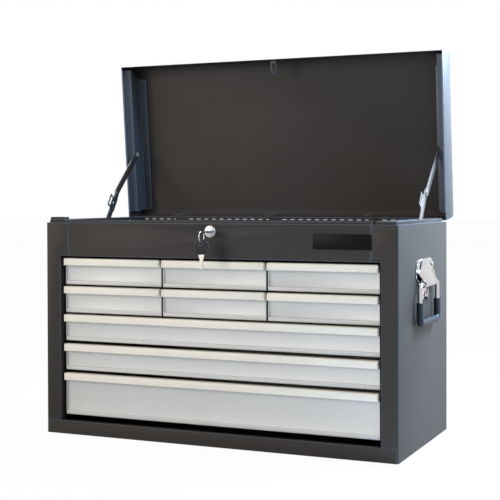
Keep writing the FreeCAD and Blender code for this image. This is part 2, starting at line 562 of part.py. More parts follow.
def stays():
    """Brackets and rivets that carry the stays, the links and their stop tabs."""
    brackets, rivets = [], []
    bore = "rivet_radius + rivet_clearance"
    for word, side in SIDES:
        wall = f"({HALF} - gauge)"
        top, foot = f"({PIVOT_Z} + bracket_height / 2)", f"({PIVOT_Z} - bracket_height / 2)"
        section = [(wall, top), (BRACKET, top), (BRACKET, foot), (wall, foot),
                   (wall, f"{foot} + gauge"), (f"{BRACKET} + gauge", f"{foot} + gauge"),
                   (f"{BRACKET} + gauge", f"{top} - gauge"), (wall, f"{top} - gauge")]
        plate = folded(f"stay_bracket_{word}", "XZ_Plane", mirrored(side, section), "bracket_width")
        bind(plate, Base_y=PIVOT_Y)
        inner = f"({INNER_LINK[0]} - link_gap / 2)"
        post = rod(f"stay_post_{word}", "X", (span(side, inner, BRACKET)[0], PIVOT_Y, PIVOT_Z),
                   "rivet_radius", f"{BRACKET} - {inner}")
        cap = rod(f"stay_post_head_{word}", "X",
                  (span(side, f"{inner} - rivet_head_thick", inner)[0], PIVOT_Y, PIVOT_Z),
                  "rivet_head", "rivet_head_thick")
        brackets.append(fuse(f"stay_bracket_set_{word}", plate, post, cap))
        near = f"({OUTER_LINK[0]} - link_gap / 2)"
        far = f"({LID_HALF} - gauge - channel_hem - channel_step + 2 * gauge)"
        shank = rod(f"lid_rivet_{word}", "X", (span(side, near, far)[0], "-stay_lid_reach", "stay_lid_rise"),
                    "rivet_radius", f"{far} - {near}")
        head = rod(f"lid_rivet_head_{word}", "X",
                   (span(side, f"{near} - rivet_head_thick", near)[0], "-stay_lid_reach", "stay_lid_rise"),
                   "rivet_head", "rivet_head_thick")
        rivets.append(fuse(f"lid_rivet_set_{word}", shank, head))
        upper = link(f"upper_link_{word}", side, OUTER_LINK, UPPER_LINK, bore, True)
        keep(turned(upper, UPPER_ANGLE, (TIP_Y, TIP_Z)), f"stay_upper_{word}")
        lower = link(f"lower_link_{word}", side, INNER_LINK, "lower_link", bore, False)
        keep(turned(lower, LOWER_ANGLE, (PIVOT_Y, PIVOT_Z)), f"stay_lower_{word}")
        face = INNER_LINK[0]
        tab = box(f"stop_tab_{word}", span(side, f"{face} - gauge", face),
                  ("stop_place - stop_length / 2", "stop_place + stop_length / 2"),
                  ("-link_width / 2", "link_width / 2"))
        lever = box(f"stop_lever_{word}", span(side, f"{face} - gauge", face),
                    ("stop_place - stop_length / 2", "stop_place + stop_length / 3"),
                    ("link_width / 2", "link_width / 2 + lever_reach"))
        hollow = box(f"stop_slot_{word}", span(side, f"{face} - 2 * gauge", f"{face} + gauge"),
                     ("stop_place - stop_length / 2 + lever_wall",
                      "stop_place + stop_length / 3 - lever_wall"),
                     ("link_width / 2 + lever_wall", "link_width / 2 + lever_wall + lever_slot"))
        outside = span(side, f"{face} - gauge - rivet_head_thick", f"{face} - gauge")[0]
        button = rod(f"stop_head_{word}", "X", (outside, "stop_place", "0"), "rivet_head", "rivet_head_thick")
        stop = fuse(f"stop_{word}", tab, button, cut(f"stop_lever_shape_{word}", lever, hollow))
        keep(turned(stop, LOWER_ANGLE, (PIVOT_Y, PIVOT_Z)),
             f"stay_stop_{word}")
    keep(group("brackets", *brackets), "stay_brackets")
    keep(opened(group("lid_rivets", *rivets)), "stay_lid_rivets")


# ---------------------------------------------------------------- drawers
SPREAD = f"({OPENING} - drawer_side_gap)"
COLUMN = f"((2 * {SPREAD} - 2 * column_gap) / 3)"
COLUMNS = [("left", f"(-{SPREAD})", f"({COLUMN} - {SPREAD})"),
           ("centre", f"(-{COLUMN} / 2)", f"({COLUMN} / 2)"),
           ("right", f"({SPREAD} - {COLUMN})", SPREAD)]
ROW_TOPS = [f"({HEADER_FOOT} - drawer_gap)"]
for gap in ("row_gap_upper", "row_gap_upper", "row_gap_lower", "row_gap_lower"):
    ROW_TOPS.append(f"({ROW_TOPS[-1]} - shallow_front - {gap})")
FACE = f"({FRONT} + front_setback)"
DRAWERS = [(f"row{row}_{word}", left, right, ROW_TOPS[row - 1], "shallow_front")
           for row in (1, 2) for word, left, right in COLUMNS]
DRAWERS += [(f"row{row}", f"(-{SPREAD})", SPREAD, ROW_TOPS[row - 1],
             "deep_front" if row == 5 else "shallow_front") for row in (3, 4, 5)]


def drawer(name, left, right, top, height):
    """Tray with its front, bottom band and the flanges it slides on, and the pull above it."""
    foot = f"({top} - {height})"
    rim = f"({top} - tray_drop)"
    rear = f"({BACK} - drawer_back_gap)"
    behind = f"({FACE} + gauge)"
    inset = (f"{left} + tray_inset", f"{right} - tray_inset")
    front = box(f"{name}_front", (left, right), (FACE, behind), (foot, f"{top} - pull_wall"))
    band = box(f"{name}_band", (left, right), (f"{FACE} - band_step", FACE), (foot, f"{foot} + band_height"))
    shell = box(f"{name}_shell", inset, (behind, rear), (f"{foot} + tray_lift", rim))
    room = box(f"{name}_room", (f"{inset[0]} + gauge", f"{inset[1]} - gauge"),
               (f"{FACE} + gauge", f"{rear} - gauge"), (f"{foot} + tray_lift + gauge", f"{rim} + 1"))
    lips = [box(f"{name}_lip_{index}", across, (behind, rear), (f"{rim} - gauge", rim))
            for index, across in enumerate(((left, inset[0]), (inset[1], right)))]
    keep(fuse(f"{name}_tray", front, band, cut(f"{name}_bin", shell, room), *lips), f"drawer_tray_{name}")
    block = box(f"{name}_pull_block", (left, right), (f"{FACE} - pull_depth", FACE),
                (f"{top} - pull_height", top))
    grip = box(f"{name}_pull_hollow", (f"{left} + pull_cap", f"{right} - pull_cap"),
               (f"{FACE} - pull_depth + pull_wall", f"{FACE} - pull_wall"),
               (f"{top} - pull_height - 1", f"{top} - pull_wall"))
    keep(cut(f"{name}_pull", block, grip), f"drawer_pull_{name}")


def ledge(name, side, edge, wall, top):
    """Angle strip under a tray flange, welded to the wall on its far side."""
    level = f"({top} - tray_drop - gauge - runner_gap)"
    inner = f"({edge} - {side} * (tray_inset - runner_side_gap))"
    along = (f"{FRONT} + partition_setback", f"{BACK} - runner_back_gap")

    def ordered(one, other):
        return (one, other) if side > 0 else (other, one)

    shelf = box(f"{name}_shelf", ordered(inner, wall), along, (f"{level} - gauge", level))
    skirt = box(f"{name}_skirt", ordered(f"{wall} - {side} * gauge", wall), along,
                (f"{level} - runner_drop", f"{level} - gauge"))
    return fuse(name, shelf, skirt)


def cabinet():
    """Partitions between the short drawers and the strips that the drawers slide on."""
    sheets = []
    for word, side in SIDES:
        middle = f"({COLUMN} / 2 + column_gap / 2)"
        foot = f"({ROW_TOPS[1]} - shallow_front - row_gap_upper / 2)"
        section = [(f"{middle} - gauge / 2", foot), (f"{middle} + gauge / 2", foot),
                   (f"{middle} + gauge / 2", f"{TILL_FLOOR} - gauge"),
                   (f"{middle} + partition_flange", f"{TILL_FLOOR} - gauge"),
                   (f"{middle} + partition_flange", TILL_FLOOR), (f"{middle} - gauge / 2", TILL_FLOOR)]
        sheet_metal = folded(f"partition_{word}", "XZ_Plane", mirrored(side, section),
                             "chest_depth - gauge - partition_setback", both_ways=False)
        sheets.append(bind(sheet_metal, Base_y=f"{BACK} - gauge"))
    keep(group("partitions", *sheets), "drawer_partitions")
    strips = []
    wall = f"({HALF} - gauge)"
    divider = f"({COLUMN} / 2 + column_gap / 2 - gauge / 2)"
    beyond = f"({COLUMN} / 2 + column_gap / 2 + gauge / 2)"
    walls = {"left": (f"(-{wall})", f"(-{beyond})"), "centre": (f"(-{divider})", divider),
             "right": (beyond, wall)}
    for name, left, right, top, height in DRAWERS:
        near, far = walls.get(name.partition("_")[2], (f"(-{wall})", wall))
        strips.append(ledge(f"{name}_ledge_left", -1, left, near, top))
        strips.append(ledge(f"{name}_ledge_right", 1, right, far, top))
    keep(group("slides", *strips), "cabinet_slides")


# ---------------------------------------------------------------- lock and keys
LOCK_FACE = f"({FRONT} - bezel_depth)"
PLUG_END = f"({FRONT} + lock_body_length)"
KEY_HEAD = f"({LOCK_FACE} - key_neck)"
KEY_END = f"({KEY_HEAD} - key_head_length)"
KEY_BRIDGE = f"({KEY_END} + key_bridge / 2)"
RING_Z = (f"({LOCK_Z} + key_thick / 2 - sqrt((ring_radius - ring_wire - ring_play)"
          f" * (ring_radius - ring_wire - ring_play) - key_bridge * key_bridge / 4))")
SPARE_BRIDGE = (f"({RING_Z} - sqrt((ring_radius - ring_wire - ring_play)"
                f" * (ring_radius - ring_wire - ring_play) - key_thick * key_thick / 4))")
SPARE_TOP = f"({SPARE_BRIDGE} + key_bridge)"


def lock():
    """Bezel and barrel in the top rail, the turning plug, and the cam that hooks over the catch."""
    centre = ("lock_x", LOCK_FACE, LOCK_Z)
    bezel = rod("lock_bezel", "Y", centre, "bezel_radius", "bezel_depth")
    barrel = rod("lock_barrel", "Y", centre, "lock_body_radius", "bezel_depth + lock_body_length")
    seat = rod("lock_seat", "Y", ("lock_x", f"{LOCK_FACE} - 1", LOCK_Z),
               "plug_radius + plug_clearance", "bezel_depth + lock_body_length + 2")
    keep(cut("lock_shell", fuse("lock_blank", bezel, barrel), seat), "lock_housing")
    plug = rod("lock_core", "Y", centre, "plug_radius", "bezel_depth + lock_body_length + cam_thick")
    half = "(key_blade_width / 2 + key_gap)"
    way = box("lock_keyway", (f"lock_x - {half}", f"lock_x + {half}"),
              (f"{LOCK_FACE} - 1", f"{LOCK_FACE} + key_blade_length - key_neck + key_gap"),
              (f"{LOCK_Z} - blade_thick / 2 - key_gap", f"{LOCK_Z} + blade_thick / 2 + key_gap"))
    keep(cut("lock_plug_shape", plug, way), "lock_plug")
    behind = (f"{PLUG_END} + key_gap", f"{PLUG_END} + cam_thick")
    disc = rod("cam_disc", "Y", ("lock_x", behind[0], LOCK_Z), "lock_body_radius", "cam_thick - key_gap")
    edge = (f"{LOCK_Z} - cam_width / 2", f"{LOCK_Z} + cam_width / 2")
    inner = "(lock_drop + lid_gap + catch_rise + catch_thick + hook_rise)"
    arm = box("cam_arm", ("lock_x", f"lock_x + {inner} + hook_thick"), behind, edge)
    hook = box("cam_hook", (f"lock_x + {inner}", f"lock_x + {inner} + hook_thick"),
               (f"{behind[1]} - hook_reach", behind[1]), edge)
    eye = rod("cam_eye", "Y", ("lock_x", f"{PLUG_END} - 1", LOCK_Z), "plug_radius", "cam_thick + 2")
    keep(cut("cam", fuse("cam_blank", disc, arm, hook), eye), "lock_cam")


def keys():
    """The key in the lock, the split ring through its head and the spare that hangs from it."""
    blade = box("key_blade", ("lock_x - key_blade_width / 2", "lock_x + key_blade_width / 2"),
                (KEY_HEAD, f"{KEY_HEAD} + key_blade_length"),
                (f"{LOCK_Z} - blade_thick / 2", f"{LOCK_Z} + blade_thick / 2"))
    head = box("key_head", ("lock_x - key_head_width / 2", "lock_x + key_head_width / 2"),
               (KEY_END, KEY_HEAD),
               (f"{LOCK_Z} - key_thick / 2", f"{LOCK_Z} + key_thick / 2"))
    hole = rod("key_hole", "Z", ("lock_x", f"{KEY_END} + key_bridge + key_hole_radius",
                                 f"{LOCK_Z} - key_thick"), "key_hole_radius", "2 * key_thick")
    keep(cut("key", fuse("key_blank", blade, head), hole), "lock_key")
    ring = doc.addObject("Part::Torus", "ring")
    ring.Placement = FreeCAD.Placement(Vector(), FreeCAD.Rotation(Vector(0, 1, 0), 90))
    bind(ring, Radius1="ring_radius", Radius2="ring_wire", Base_x="lock_x", Base_y=KEY_BRIDGE,
         Base_z=RING_Z)
    keep(ring, "key_ring")
    foot = f"({SPARE_TOP} - key_head_length)"
    bow = box("spare_head", ("lock_x - key_head_width / 2", "lock_x + key_head_width / 2"),
              (f"{KEY_BRIDGE} - key_thick / 2", f"{KEY_BRIDGE} + key_thick / 2"), (foot, SPARE_TOP))
    tongue = box("spare_blade", ("lock_x - key_blade_width / 2", "lock_x + key_blade_width / 2"),
                 (f"{KEY_BRIDGE} - blade_thick / 2", f"{KEY_BRIDGE} + blade_thick / 2"),
                 (f"{foot} - key_blade_length", foot))
    eye = rod("spare_hole", "Y", ("lock_x", f"{KEY_BRIDGE} - key_thick",
                                  f"{SPARE_TOP} - key_bridge - key_hole_radius"),
              "key_hole_radius", "2 * key_thick")
    keep(cut("spare", fuse("spare_blank", bow, tongue), eye), "spare_key")


# ---------------------------------------------------------------- side handles
UPRIGHT = FreeCAD.Rotation(Vector(1, 1, 1), 120)


def bent_bar(name, x, radius, pieces):
    """Round bar through straight runs and quarter bends of one radius, in a plane across X."""
    made = []
    for index, (kind, along, up, extent) in enumerate(pieces):
        if kind == "bend":
            turn = doc.addObject("Part::Torus", f"{name}_{index}")
            turn.Angle3 = 90
            turn.Placement = FreeCAD.Placement(
                Vector(), UPRIGHT * FreeCAD.Rotation(Vector(0, 0, 1), extent))
            bind(turn, Radius1="bail_bend", Radius2=radius, Base_x=x, Base_y=along, Base_z=up)
            made.append(turn)
        else:
            made.append(rod(f"{name}_{index}", kind, (x, along, up), radius, extent))
    return fuse(name, *made)


# The flap's outer line: shares of its run outwards and of the plate's rise.
FLAP_CURVE = ((0.0, 1.0), (0.02, 0.55), (0.1, 0.42), (0.32, 0.3), (0.62, 0.19), (0.88, 0.09), (1.0, 0.0))


def round_head(name, x, half, corner, crest):
    """Upright tab standing on the handle's neck, with its two top corners rounded."""
    low = f"{HANDLE_Z} + neck_rise"
    arc = f"({half} - {corner})"
    middle = box(f"{name}_middle", x, (f"(-{arc})", arc), (low, crest))
    wide = box(f"{name}_wide", x, (f"(-{half})", half), (low, f"{crest} - {corner}"))
    corners = [rod(f"{name}_corner_{index}", "X", (x[0], along, f"{crest} - {corner}"),
                   corner, f"({x[1]}) - ({x[0]})") for index, along in enumerate((arc, f"(-{arc})"))]
    return [middle, wide, *corners]


def side_handle(word, side):
    """Pressed plate with its flap and barrel, the wire bail and the grip moulded on it."""
    wall = f"({side} * {HALF})"
    low, high = span(side, HALF, f"{HALF} + plate_thick")
    axis_x = f"({side} * ({HALF} + handle_standoff))"
    crest = f"{HANDLE_Z} + plate_rise"
    head = round_head(f"plate_head_{word}", (low, high), "(plate_width / 2)", "plate_corner", crest)
    foot = f"{HANDLE_Z} - foot_drop"
    tongue = box(f"plate_tongue_{word}", (low, high), ("-foot_width / 2", "foot_width / 2"),
                 (f"{foot} + foot_corner", f"{HANDLE_Z} + neck_rise"))
    sole = box(f"plate_foot_{word}", (low, high),
               ("foot_corner - foot_width / 2", "foot_width / 2 - foot_corner"), (foot, HANDLE_Z))
    toes = [rod(f"plate_toe_{word}_{index}", "X", (low, along, f"{foot} + foot_corner"),
                "foot_corner", "plate_thick")
            for index, along in enumerate(("foot_corner - foot_width / 2", "foot_width / 2 - foot_corner"))]
    near = f"({HALF} + plate_thick)"
    start = f"({HALF} + plate_thick + flap_gap)"
    out = f"({HALF} + handle_standoff + barrel_radius)"
    skin = [(f"{start} + {away} * ({out} - {start})", f"{HANDLE_Z} + {rise} * plate_rise")
            for away, rise in FLAP_CURVE]
    lining = [(f"{across} - plate_thick", f"{up} - plate_thick / 2") for across, up in reversed(skin[1:])]
    under = f"{crest} - plate_thick"
    roll = [(f"{start} - plate_thick", under), (near, under), (near, crest)]
    flap = folded(f"flap_{word}", "XZ_Plane", mirrored(side, skin + [
        (out, f"{HANDLE_Z} - barrel_radius / 2"), (f"{out} - plate_thick", f"{HANDLE_Z} - barrel_radius / 2")]
        + lining + roll), "plate_width")
    reach = span(side, HALF, f"{out} + 1")
    right = [("(barrel_length / 2)", HANDLE_Z), ("(shoulder_width / 2)", f"{HANDLE_Z} + shoulder_rise"),
             ("(flap_width / 2)", f"{HANDLE_Z} + shoulder_rise + shoulder_slope")]
    left = [(f"(-{across})", up) for across, up in reversed(right)]
    shoulders = folded(f"flap_shoulders_{word}", "YZ_Plane", right + left, f"{out} + 1 - {HALF}",
                       both_ways=False)
    bind(shoulders, Base_x=reach[0])
    outline = fuse(f"flap_outline_{word}",
                   *round_head(f"flap_head_{word}", reach, "(flap_width / 2)", "flap_corner", crest),
                   shoulders,
                   box(f"flap_neck_{word}", reach, ("-barrel_length / 2", "barrel_length / 2"),
                       (f"{HANDLE_Z} - barrel_radius", f"{HANDLE_Z} + neck_rise")))
    pressed = doc.addObject("Part::Common", f"flap_pressed_{word}")
    pressed.Base, pressed.Tool = flap, outline
    barrel = rod(f"handle_barrel_{word}", "Y", (axis_x, "-barrel_length / 2", HANDLE_Z),
                 "barrel_radius", "barrel_length")
    bore = rod(f"handle_bore_{word}", "Y", (axis_x, "-barrel_length", HANDLE_Z),
               "bail_wire + barrel_clearance", "2 * barrel_length")
    plate = fuse(f"handle_blank_{word}", *head, tongue, sole, *toes, pressed, barrel)
    keep(cut(f"handle_plate_shape_{word}", plate, bore), f"handle_plate_{word}")

    half, low_z = "(bail_width / 2)", f"({HANDLE_Z} - bail_drop)"
    arc = f"({half} - bail_bend)"
    legs = [("Z", along, f"{low_z} + bail_bend", "bail_drop - 2 * bail_bend")
            for along in (half, f"(-{half})")]
    lower = [("Y", f"(-{arc})", low_z, f"2 * {arc}"),
             ("bend", arc, f"{low_z} + bail_bend", -90),
             ("bend", f"(-{arc})", f"{low_z} + bail_bend", 180)]
    upper = [("bend", arc, f"{HANDLE_Z} - bail_bend", 0),
             ("bend", f"(-{arc})", f"{HANDLE_Z} - bail_bend", 90),
             ("Y", f"(-{arc})", HANDLE_Z, f"{arc} - barrel_length / 2 + bail_tail"),
             ("Y", "barrel_length / 2 - bail_tail", HANDLE_Z,
              f"{arc} - barrel_length / 2 + bail_tail")]
    bail = bent_bar(f"bail_{word}", axis_x, "bail_wire", legs + lower + upper)
    keep(bail, f"handle_bail_{word}")
    short_legs = [("Z", along, f"{low_z} + bail_bend", "bail_drop - bail_bend - grip_top")
                  for along in (half, f"(-{half})")]
    sleeve = bent_bar(f"sleeve_{word}", axis_x, "grip_radius", short_legs + lower)
    keep(cut(f"grip_{word}", sleeve, bail), f"handle_grip_{word}")
    base = span(side, f"{HALF} + plate_thick", f"{HALF} + plate_thick + handle_rivet_rise")[0]
    spots = [("-rivet_reach", f"{HANDLE_Z} + rivet_rise"), ("rivet_reach", f"{HANDLE_Z} + rivet_rise"),
             ("0", f"{HANDLE_Z} - rivet_drop")]
    return [rod(f"handle_rivet_{word}_{index}", "X", (base, *spot), "handle_rivet", "handle_rivet_rise")
            for index, spot in enumerate(spots)]


for word, side in SIDES:
    side_panel(word, side)
back_panel()
base_pan()
header_rail()
till_floor()
for word, side in SIDES:
    rim_rail(word, side)
tool_rack()
badge_plate()
lid_skin()
for word, side in SIDES:
    lid_end(word, side)
    lid_channel(word, side)
lid_catch()
hinges()
stays()
for name, left, right, top, height in DRAWERS:
    drawer(name, left, right, top, height)
cabinet()
lock()
keys()
handle_rivets = [rivet for word, side in SIDES for rivet in side_handle(word, side)]
keep(group("handle_rivet_set", *handle_rivets), "handle_rivets")

doc.recompute()
faults = [item.Label for item in doc.Objects if {"Invalid", "Error"} & set(item.State)]
faults += [item.Label for item in subparts if item.Shape.isNull() or not item.Shape.isValid()]
if faults:
    raise RuntimeError(f"objects that did not build: {faults}")
os.makedirs("parts", exist_ok=True)
for item in subparts:
    item.Shape.exportStep(f"parts/{item.Label}.step")
print(f"{len(subparts)} sub-parts written")
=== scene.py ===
"""Nine-drawer steel tool chest with its lid propped open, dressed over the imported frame."""

import logging
import math
from collections.abc import Callable
from dataclasses import dataclass
from enum import Enum

import bmesh
import bpy
from mathutils import Matrix, Vector

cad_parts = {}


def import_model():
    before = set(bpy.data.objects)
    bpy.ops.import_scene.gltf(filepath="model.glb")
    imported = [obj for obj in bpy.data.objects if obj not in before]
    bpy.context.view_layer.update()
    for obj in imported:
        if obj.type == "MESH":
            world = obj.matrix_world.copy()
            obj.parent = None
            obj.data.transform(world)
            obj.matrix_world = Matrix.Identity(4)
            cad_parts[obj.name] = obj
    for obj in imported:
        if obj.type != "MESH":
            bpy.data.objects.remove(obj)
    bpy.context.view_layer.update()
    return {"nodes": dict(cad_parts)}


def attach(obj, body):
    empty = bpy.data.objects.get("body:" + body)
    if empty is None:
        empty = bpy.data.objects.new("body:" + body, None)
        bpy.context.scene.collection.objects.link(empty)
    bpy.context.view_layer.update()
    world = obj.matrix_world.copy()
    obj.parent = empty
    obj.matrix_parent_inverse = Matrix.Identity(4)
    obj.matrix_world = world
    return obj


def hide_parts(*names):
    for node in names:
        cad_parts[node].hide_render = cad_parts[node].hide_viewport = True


LOG = logging.getLogger("tool_chest")

MM = 0.001
FRONT = -154.0
BACK = 154.0

Place = tuple[float, float, float]
Colour = tuple[float, float, float]
Test = Callable[[Vector, Vector], bool]
Feed = dict[str | int, bpy.types.NodeSocket | float | tuple[float, ...]]


class Side(Enum):
    """The two sides of the chest, seen from the front."""

    LEFT = -1
    RIGHT = 1

    @property
    def word(self) -> str:
        """The side's name as the frame's nodes spell it."""
        return self.name.lower()


class Axis(Enum):
    """A direction that a round bar runs in, with the turn that lays it there."""

    X = (0.0, math.pi / 2, 0.0)
    Y = (-math.pi / 2, 0.0, 0.0)
    Z = (0.0, 0.0, 0.0)

    @property
    def step(self) -> Vector:
        """The axis as a unit vector."""
        return Vector([float(self.name == letter) for letter in "XYZ"])


# ---------------------------------------------------------------- finishes
class Wiring:
    """The nodes of one material or world, and the links between them."""

    def __init__(self, tree: bpy.types.NodeTree) -> None:
        """Take hold of a node tree."""
        self.tree = tree

    def add(self, kind: str, inputs: Feed | None = None, **settings: str) -> bpy.types.Node:
        """Add a shader node.

        Args:
            kind: The node's type, without the words ShaderNode.
            inputs: What each of its inputs takes.
            **settings: Its own settings.

        Returns:
            The node.
        """
        node = self.tree.nodes.new(f"ShaderNode{kind}")
        for key, value in settings.items():
            setattr(node, key, value)
        self.feed(node, inputs or {})
        return node

    def feed(self, node: bpy.types.Node, inputs: Feed) -> None:
        """Set a node's inputs, each to a value or to the socket that it follows.

        Args:
            node: The node.
            inputs: What each of its inputs takes.
        """
        for key, value in inputs.items():
            if isinstance(value, bpy.types.NodeSocket):
                self.tree.links.new(value, node.inputs[key])
            else:
                node.inputs[key].default_value = value

    def backdrop_rays(self) -> bpy.types.NodeSocket:
        """Tell the rays that see the backdrop from those that only light matt surfaces.

        Returns:
            A socket that is 1 for camera, glossy and transmission rays.
        """
        path = self.add("LightPath")
        socket = path.outputs["Is Camera Ray"]
        for kind in ("Is Glossy Ray", "Is Transmission Ray"):
            socket = self.add("Math", {0: socket, 1: path.outputs[kind]},
                              operation="MAXIMUM").outputs["Value"]
        return socket


@dataclass(frozen=True)
class Patches:
    """Large soft patches that lighten and darken a surface.

    Attributes:
        scale: Patches to a metre.
        detail: Detail of the noise that makes them.
        low: Noise that gives the darkest patch.
        high: Noise that gives the lightest patch.
    """

    scale: float = 9.0
    detail: float = 4.0
    low: float = 0.3
    high: float = 0.7


@dataclass(frozen=True)
class EdgeHighlight:
    """A painted highlight: a lighter bluish line along the places where the sheet turns sharply.

    Attributes:
        reach: Width of the line in millimetres.
        start: Match of the two normals at which the line begins.
        full: Match of the two normals at which the line is strongest.
        colour: Linear colour of the painted highlight.
    """

    reach: float = 1.5
    start: float = 0.995
    full: float = 0.85
    colour: Colour = (0.34, 0.42, 0.54)


@dataclass(frozen=True)
class Finish:
    """A surface finish made from procedural nodes on Object coordinates.

    Attributes:
        name: The material's name.
        color: Linear base colour.
        roughness: Middle of the roughness range.
        metallic: 0 for paint and plastic, 1 for bare metal.
        grain: Size of the surface grain in millimetres.
        depth: Height of the grain in millimetres.
        patch: Share by which large soft patches lighten or darken the colour.
        edge: Share by which the painted highlight lightens sharp edges.
        sweep: Stretch of the grain along X, Y and Z.
        gloss: Strength of the mirror part of a paint or plastic.
        spread: Half of the roughness range.
        fineness: Detail of the grain.
        patches: Make of the soft patches.
        edge_highlight: Make of the painted highlight along sharp edges.
    """

    name: str
    color: Colour
    roughness: float
    metallic: float = 0.0
    grain: float = 1.0
    depth: float = 0.02
    patch: float = 0.06
    edge: float = 0.0
    sweep: tuple[float, float, float] = (1.0, 1.0, 1.0)
    gloss: float = 0.5
    spread: float = 0.06
    fineness: float = 3.0
    patches: Patches = Patches()
    edge_highlight: EdgeHighlight = EdgeHighlight()

    def material(self) -> bpy.types.Material:
        """Return this finish's material, made the first time it is asked for."""
        found = bpy.data.materials.get(self.name)
        return found or self._build()

    def _build(self) -> bpy.types.Material:
        """Wire the grain, the patches and the painted edge highlight to one shader.

        Returns:
            The new material.
        """
        material = bpy.data.materials.new(self.name)
        material.use_nodes = True
        wiring = Wiring(material.node_tree)
        place = wiring.add("TexCoord").outputs["Object"]
        colour = self._patched_colour(wiring, place)
        if self.edge:
            colour = self._paint_edge_highlight(wiring, colour)
        grain = self._grain(wiring, place)
        rough = wiring.add("MapRange", {
            "Value": grain, "To Min": self.roughness - self.spread,
            "To Max": self.roughness + self.spread})
        bump = wiring.add("Bump", {"Height": grain, "Distance": self.depth * MM})
        wiring.feed(wiring.tree.nodes["Principled BSDF"], {
            "Base Color": colour, "Metallic": self.metallic,
            "Specular IOR Level": self.gloss, "Roughness": rough.outputs["Result"],
            "Normal": bump.outputs["Normal"]})
        return material

    def _grain(self, wiring: Wiring, place: bpy.types.NodeSocket) -> bpy.types.NodeSocket:
        """Add the fine grain of the surface.

        Args:
            wiring: The material's nodes.
            place: The socket with the Object coordinates.

        Returns:
            The socket with the grain's height.
        """
        stretch = wiring.add("Mapping", {"Vector": place, "Scale": self.sweep})
        return wiring.add("TexNoise", {
            "Vector": stretch.outputs["Vector"], "Scale": 1 / (self.grain * MM),
            "Detail": self.fineness}).outputs["Fac"]

    def _patched_colour(self, wiring: Wiring,
                        place: bpy.types.NodeSocket) -> bpy.types.NodeSocket:
        """Add the colour with its large soft patches.

        Args:
            wiring: The material's nodes.
            place: The socket with the Object coordinates.

        Returns:
            The socket with the colour of the open surface.
        """
        cloud = wiring.add("TexNoise", {
            "Vector": place, "Scale": self.patches.scale, "Detail": self.patches.detail})
        shade = wiring.add("MapRange", {
            "Value": cloud.outputs["Fac"], "From Min": self.patches.low,
            "From Max": self.patches.high, "To Min": 1 - self.patch, "To Max": 1 + self.patch})
        return wiring.add("VectorMath", {0: self.color, "Scale": shade.outputs["Result"]},
                          operation="SCALE").outputs["Vector"]

    def _paint_edge_highlight(self, wiring: Wiring,
                    colour: bpy.types.NodeSocket) -> bpy.types.NodeSocket:
        """Paint a highlight: lighten the colour towards a bluish tone where the surface turns
        sharply.

        Args:
            wiring: The material's nodes.
            colour: The socket with the colour of the open surface.

        Returns:
            The socket with the painted highlight on the edges.
        """
        rounded = wiring.add("Bevel", {"Radius": self.edge_highlight.reach * MM})
        flat = wiring.add("NewGeometry")
        match = wiring.add("VectorMath", {
            0: rounded.outputs["Normal"], 1: flat.outputs["Normal"]}, operation="DOT_PRODUCT")
        # Mask of the painted highlight: strongest where the rounded and the flat normals differ
        # most.
        edge_highlight = wiring.add("MapRange", {
            "Value": match.outputs["Value"], "From Min": self.edge_highlight.start,
            "From Max": self.edge_highlight.full, "To Max": self.edge})
        return wiring.add("Mix", {
            "Factor": edge_highlight.outputs["Result"], "A": colour, "B": (*self.edge_highlight.colour, 1.0)},
            data_type="RGBA").outputs["Result"]


# Each edge= below sets how strongly the painted bluish highlight lightens sharp folds and edges.
POWDER_COAT = Finish("black powder coat", (0.047, 0.0415, 0.038), 0.42,
                     grain=0.8, depth=0.05, edge=0.5, gloss=0.07)
# Lighter copy of the case's black coat: painted light on the lid's inside.
LIT_LID_COAT = Finish("black powder coat inside the lid", (0.056, 0.0505, 0.047), 0.42,
                  grain=0.8, depth=0.05, edge=0.2, gloss=0.07)
# Lighter copy of the case's black coat: painted light on the lid ends, with strong painted
# highlights on their folds.
LIT_FOLD_COAT = Finish("black coat on sharp folds", (0.066, 0.060, 0.060), 0.42,
                     grain=0.8, depth=0.05, edge=0.9, gloss=0.2)
# Lighter, bluish copy of the case's black coat: painted bluish light on the lid channels, with
# strong painted highlights on their folds.
BLUE_LIT_CHANNEL_COAT = Finish("black coat on the lid channels", (0.085, 0.098, 0.120), 0.42,
                      grain=0.8, depth=0.05, edge=0.9, gloss=0.2)
DRAWER_ENAMEL = Finish("grey drawer enamel", (0.61, 0.602, 0.575), 0.34,
                       grain=2.5, depth=0.02, patch=0.02)
PULL_PLASTIC = Finish("cream pull moulding", (0.80, 0.74, 0.64), 0.4,
                      grain=0.7, depth=0.02, patch=0.03)
CHROME = Finish("chrome plate", (0.60, 0.585, 0.60), 0.12, metallic=1.0,
                grain=4.0, depth=0.01, patch=0.05)
# Darker copy of the chrome: painted dark reflections on the lock's bezel and plug.
SHADED_LOCK_CHROME = Finish("satin chrome lock face", (0.40, 0.40, 0.41), 0.18, metallic=1.0,
                     grain=2.0, depth=0.02, patch=0.08)
ZINC = Finish("zinc plate", (0.55, 0.56, 0.58), 0.28, metallic=1.0,
              grain=0.6, depth=0.02, patch=0.1, sweep=(1.0, 1.0, 6.0))
# Darker copy of the case's black coat: painted shade on the hinge leaves and pins.
SHADED_HINGE_COAT = Finish("hinge coat darkened with painted shade", (0.022, 0.0185, 0.016), 0.4,
                    grain=0.6, depth=0.02, patch=0.1, edge=0.3, gloss=0.12)
CATCH_STEEL = Finish("blued catch steel", (0.010, 0.014, 0.024), 0.3,
                     grain=0.6, depth=0.02, edge=0.45, gloss=0.2)
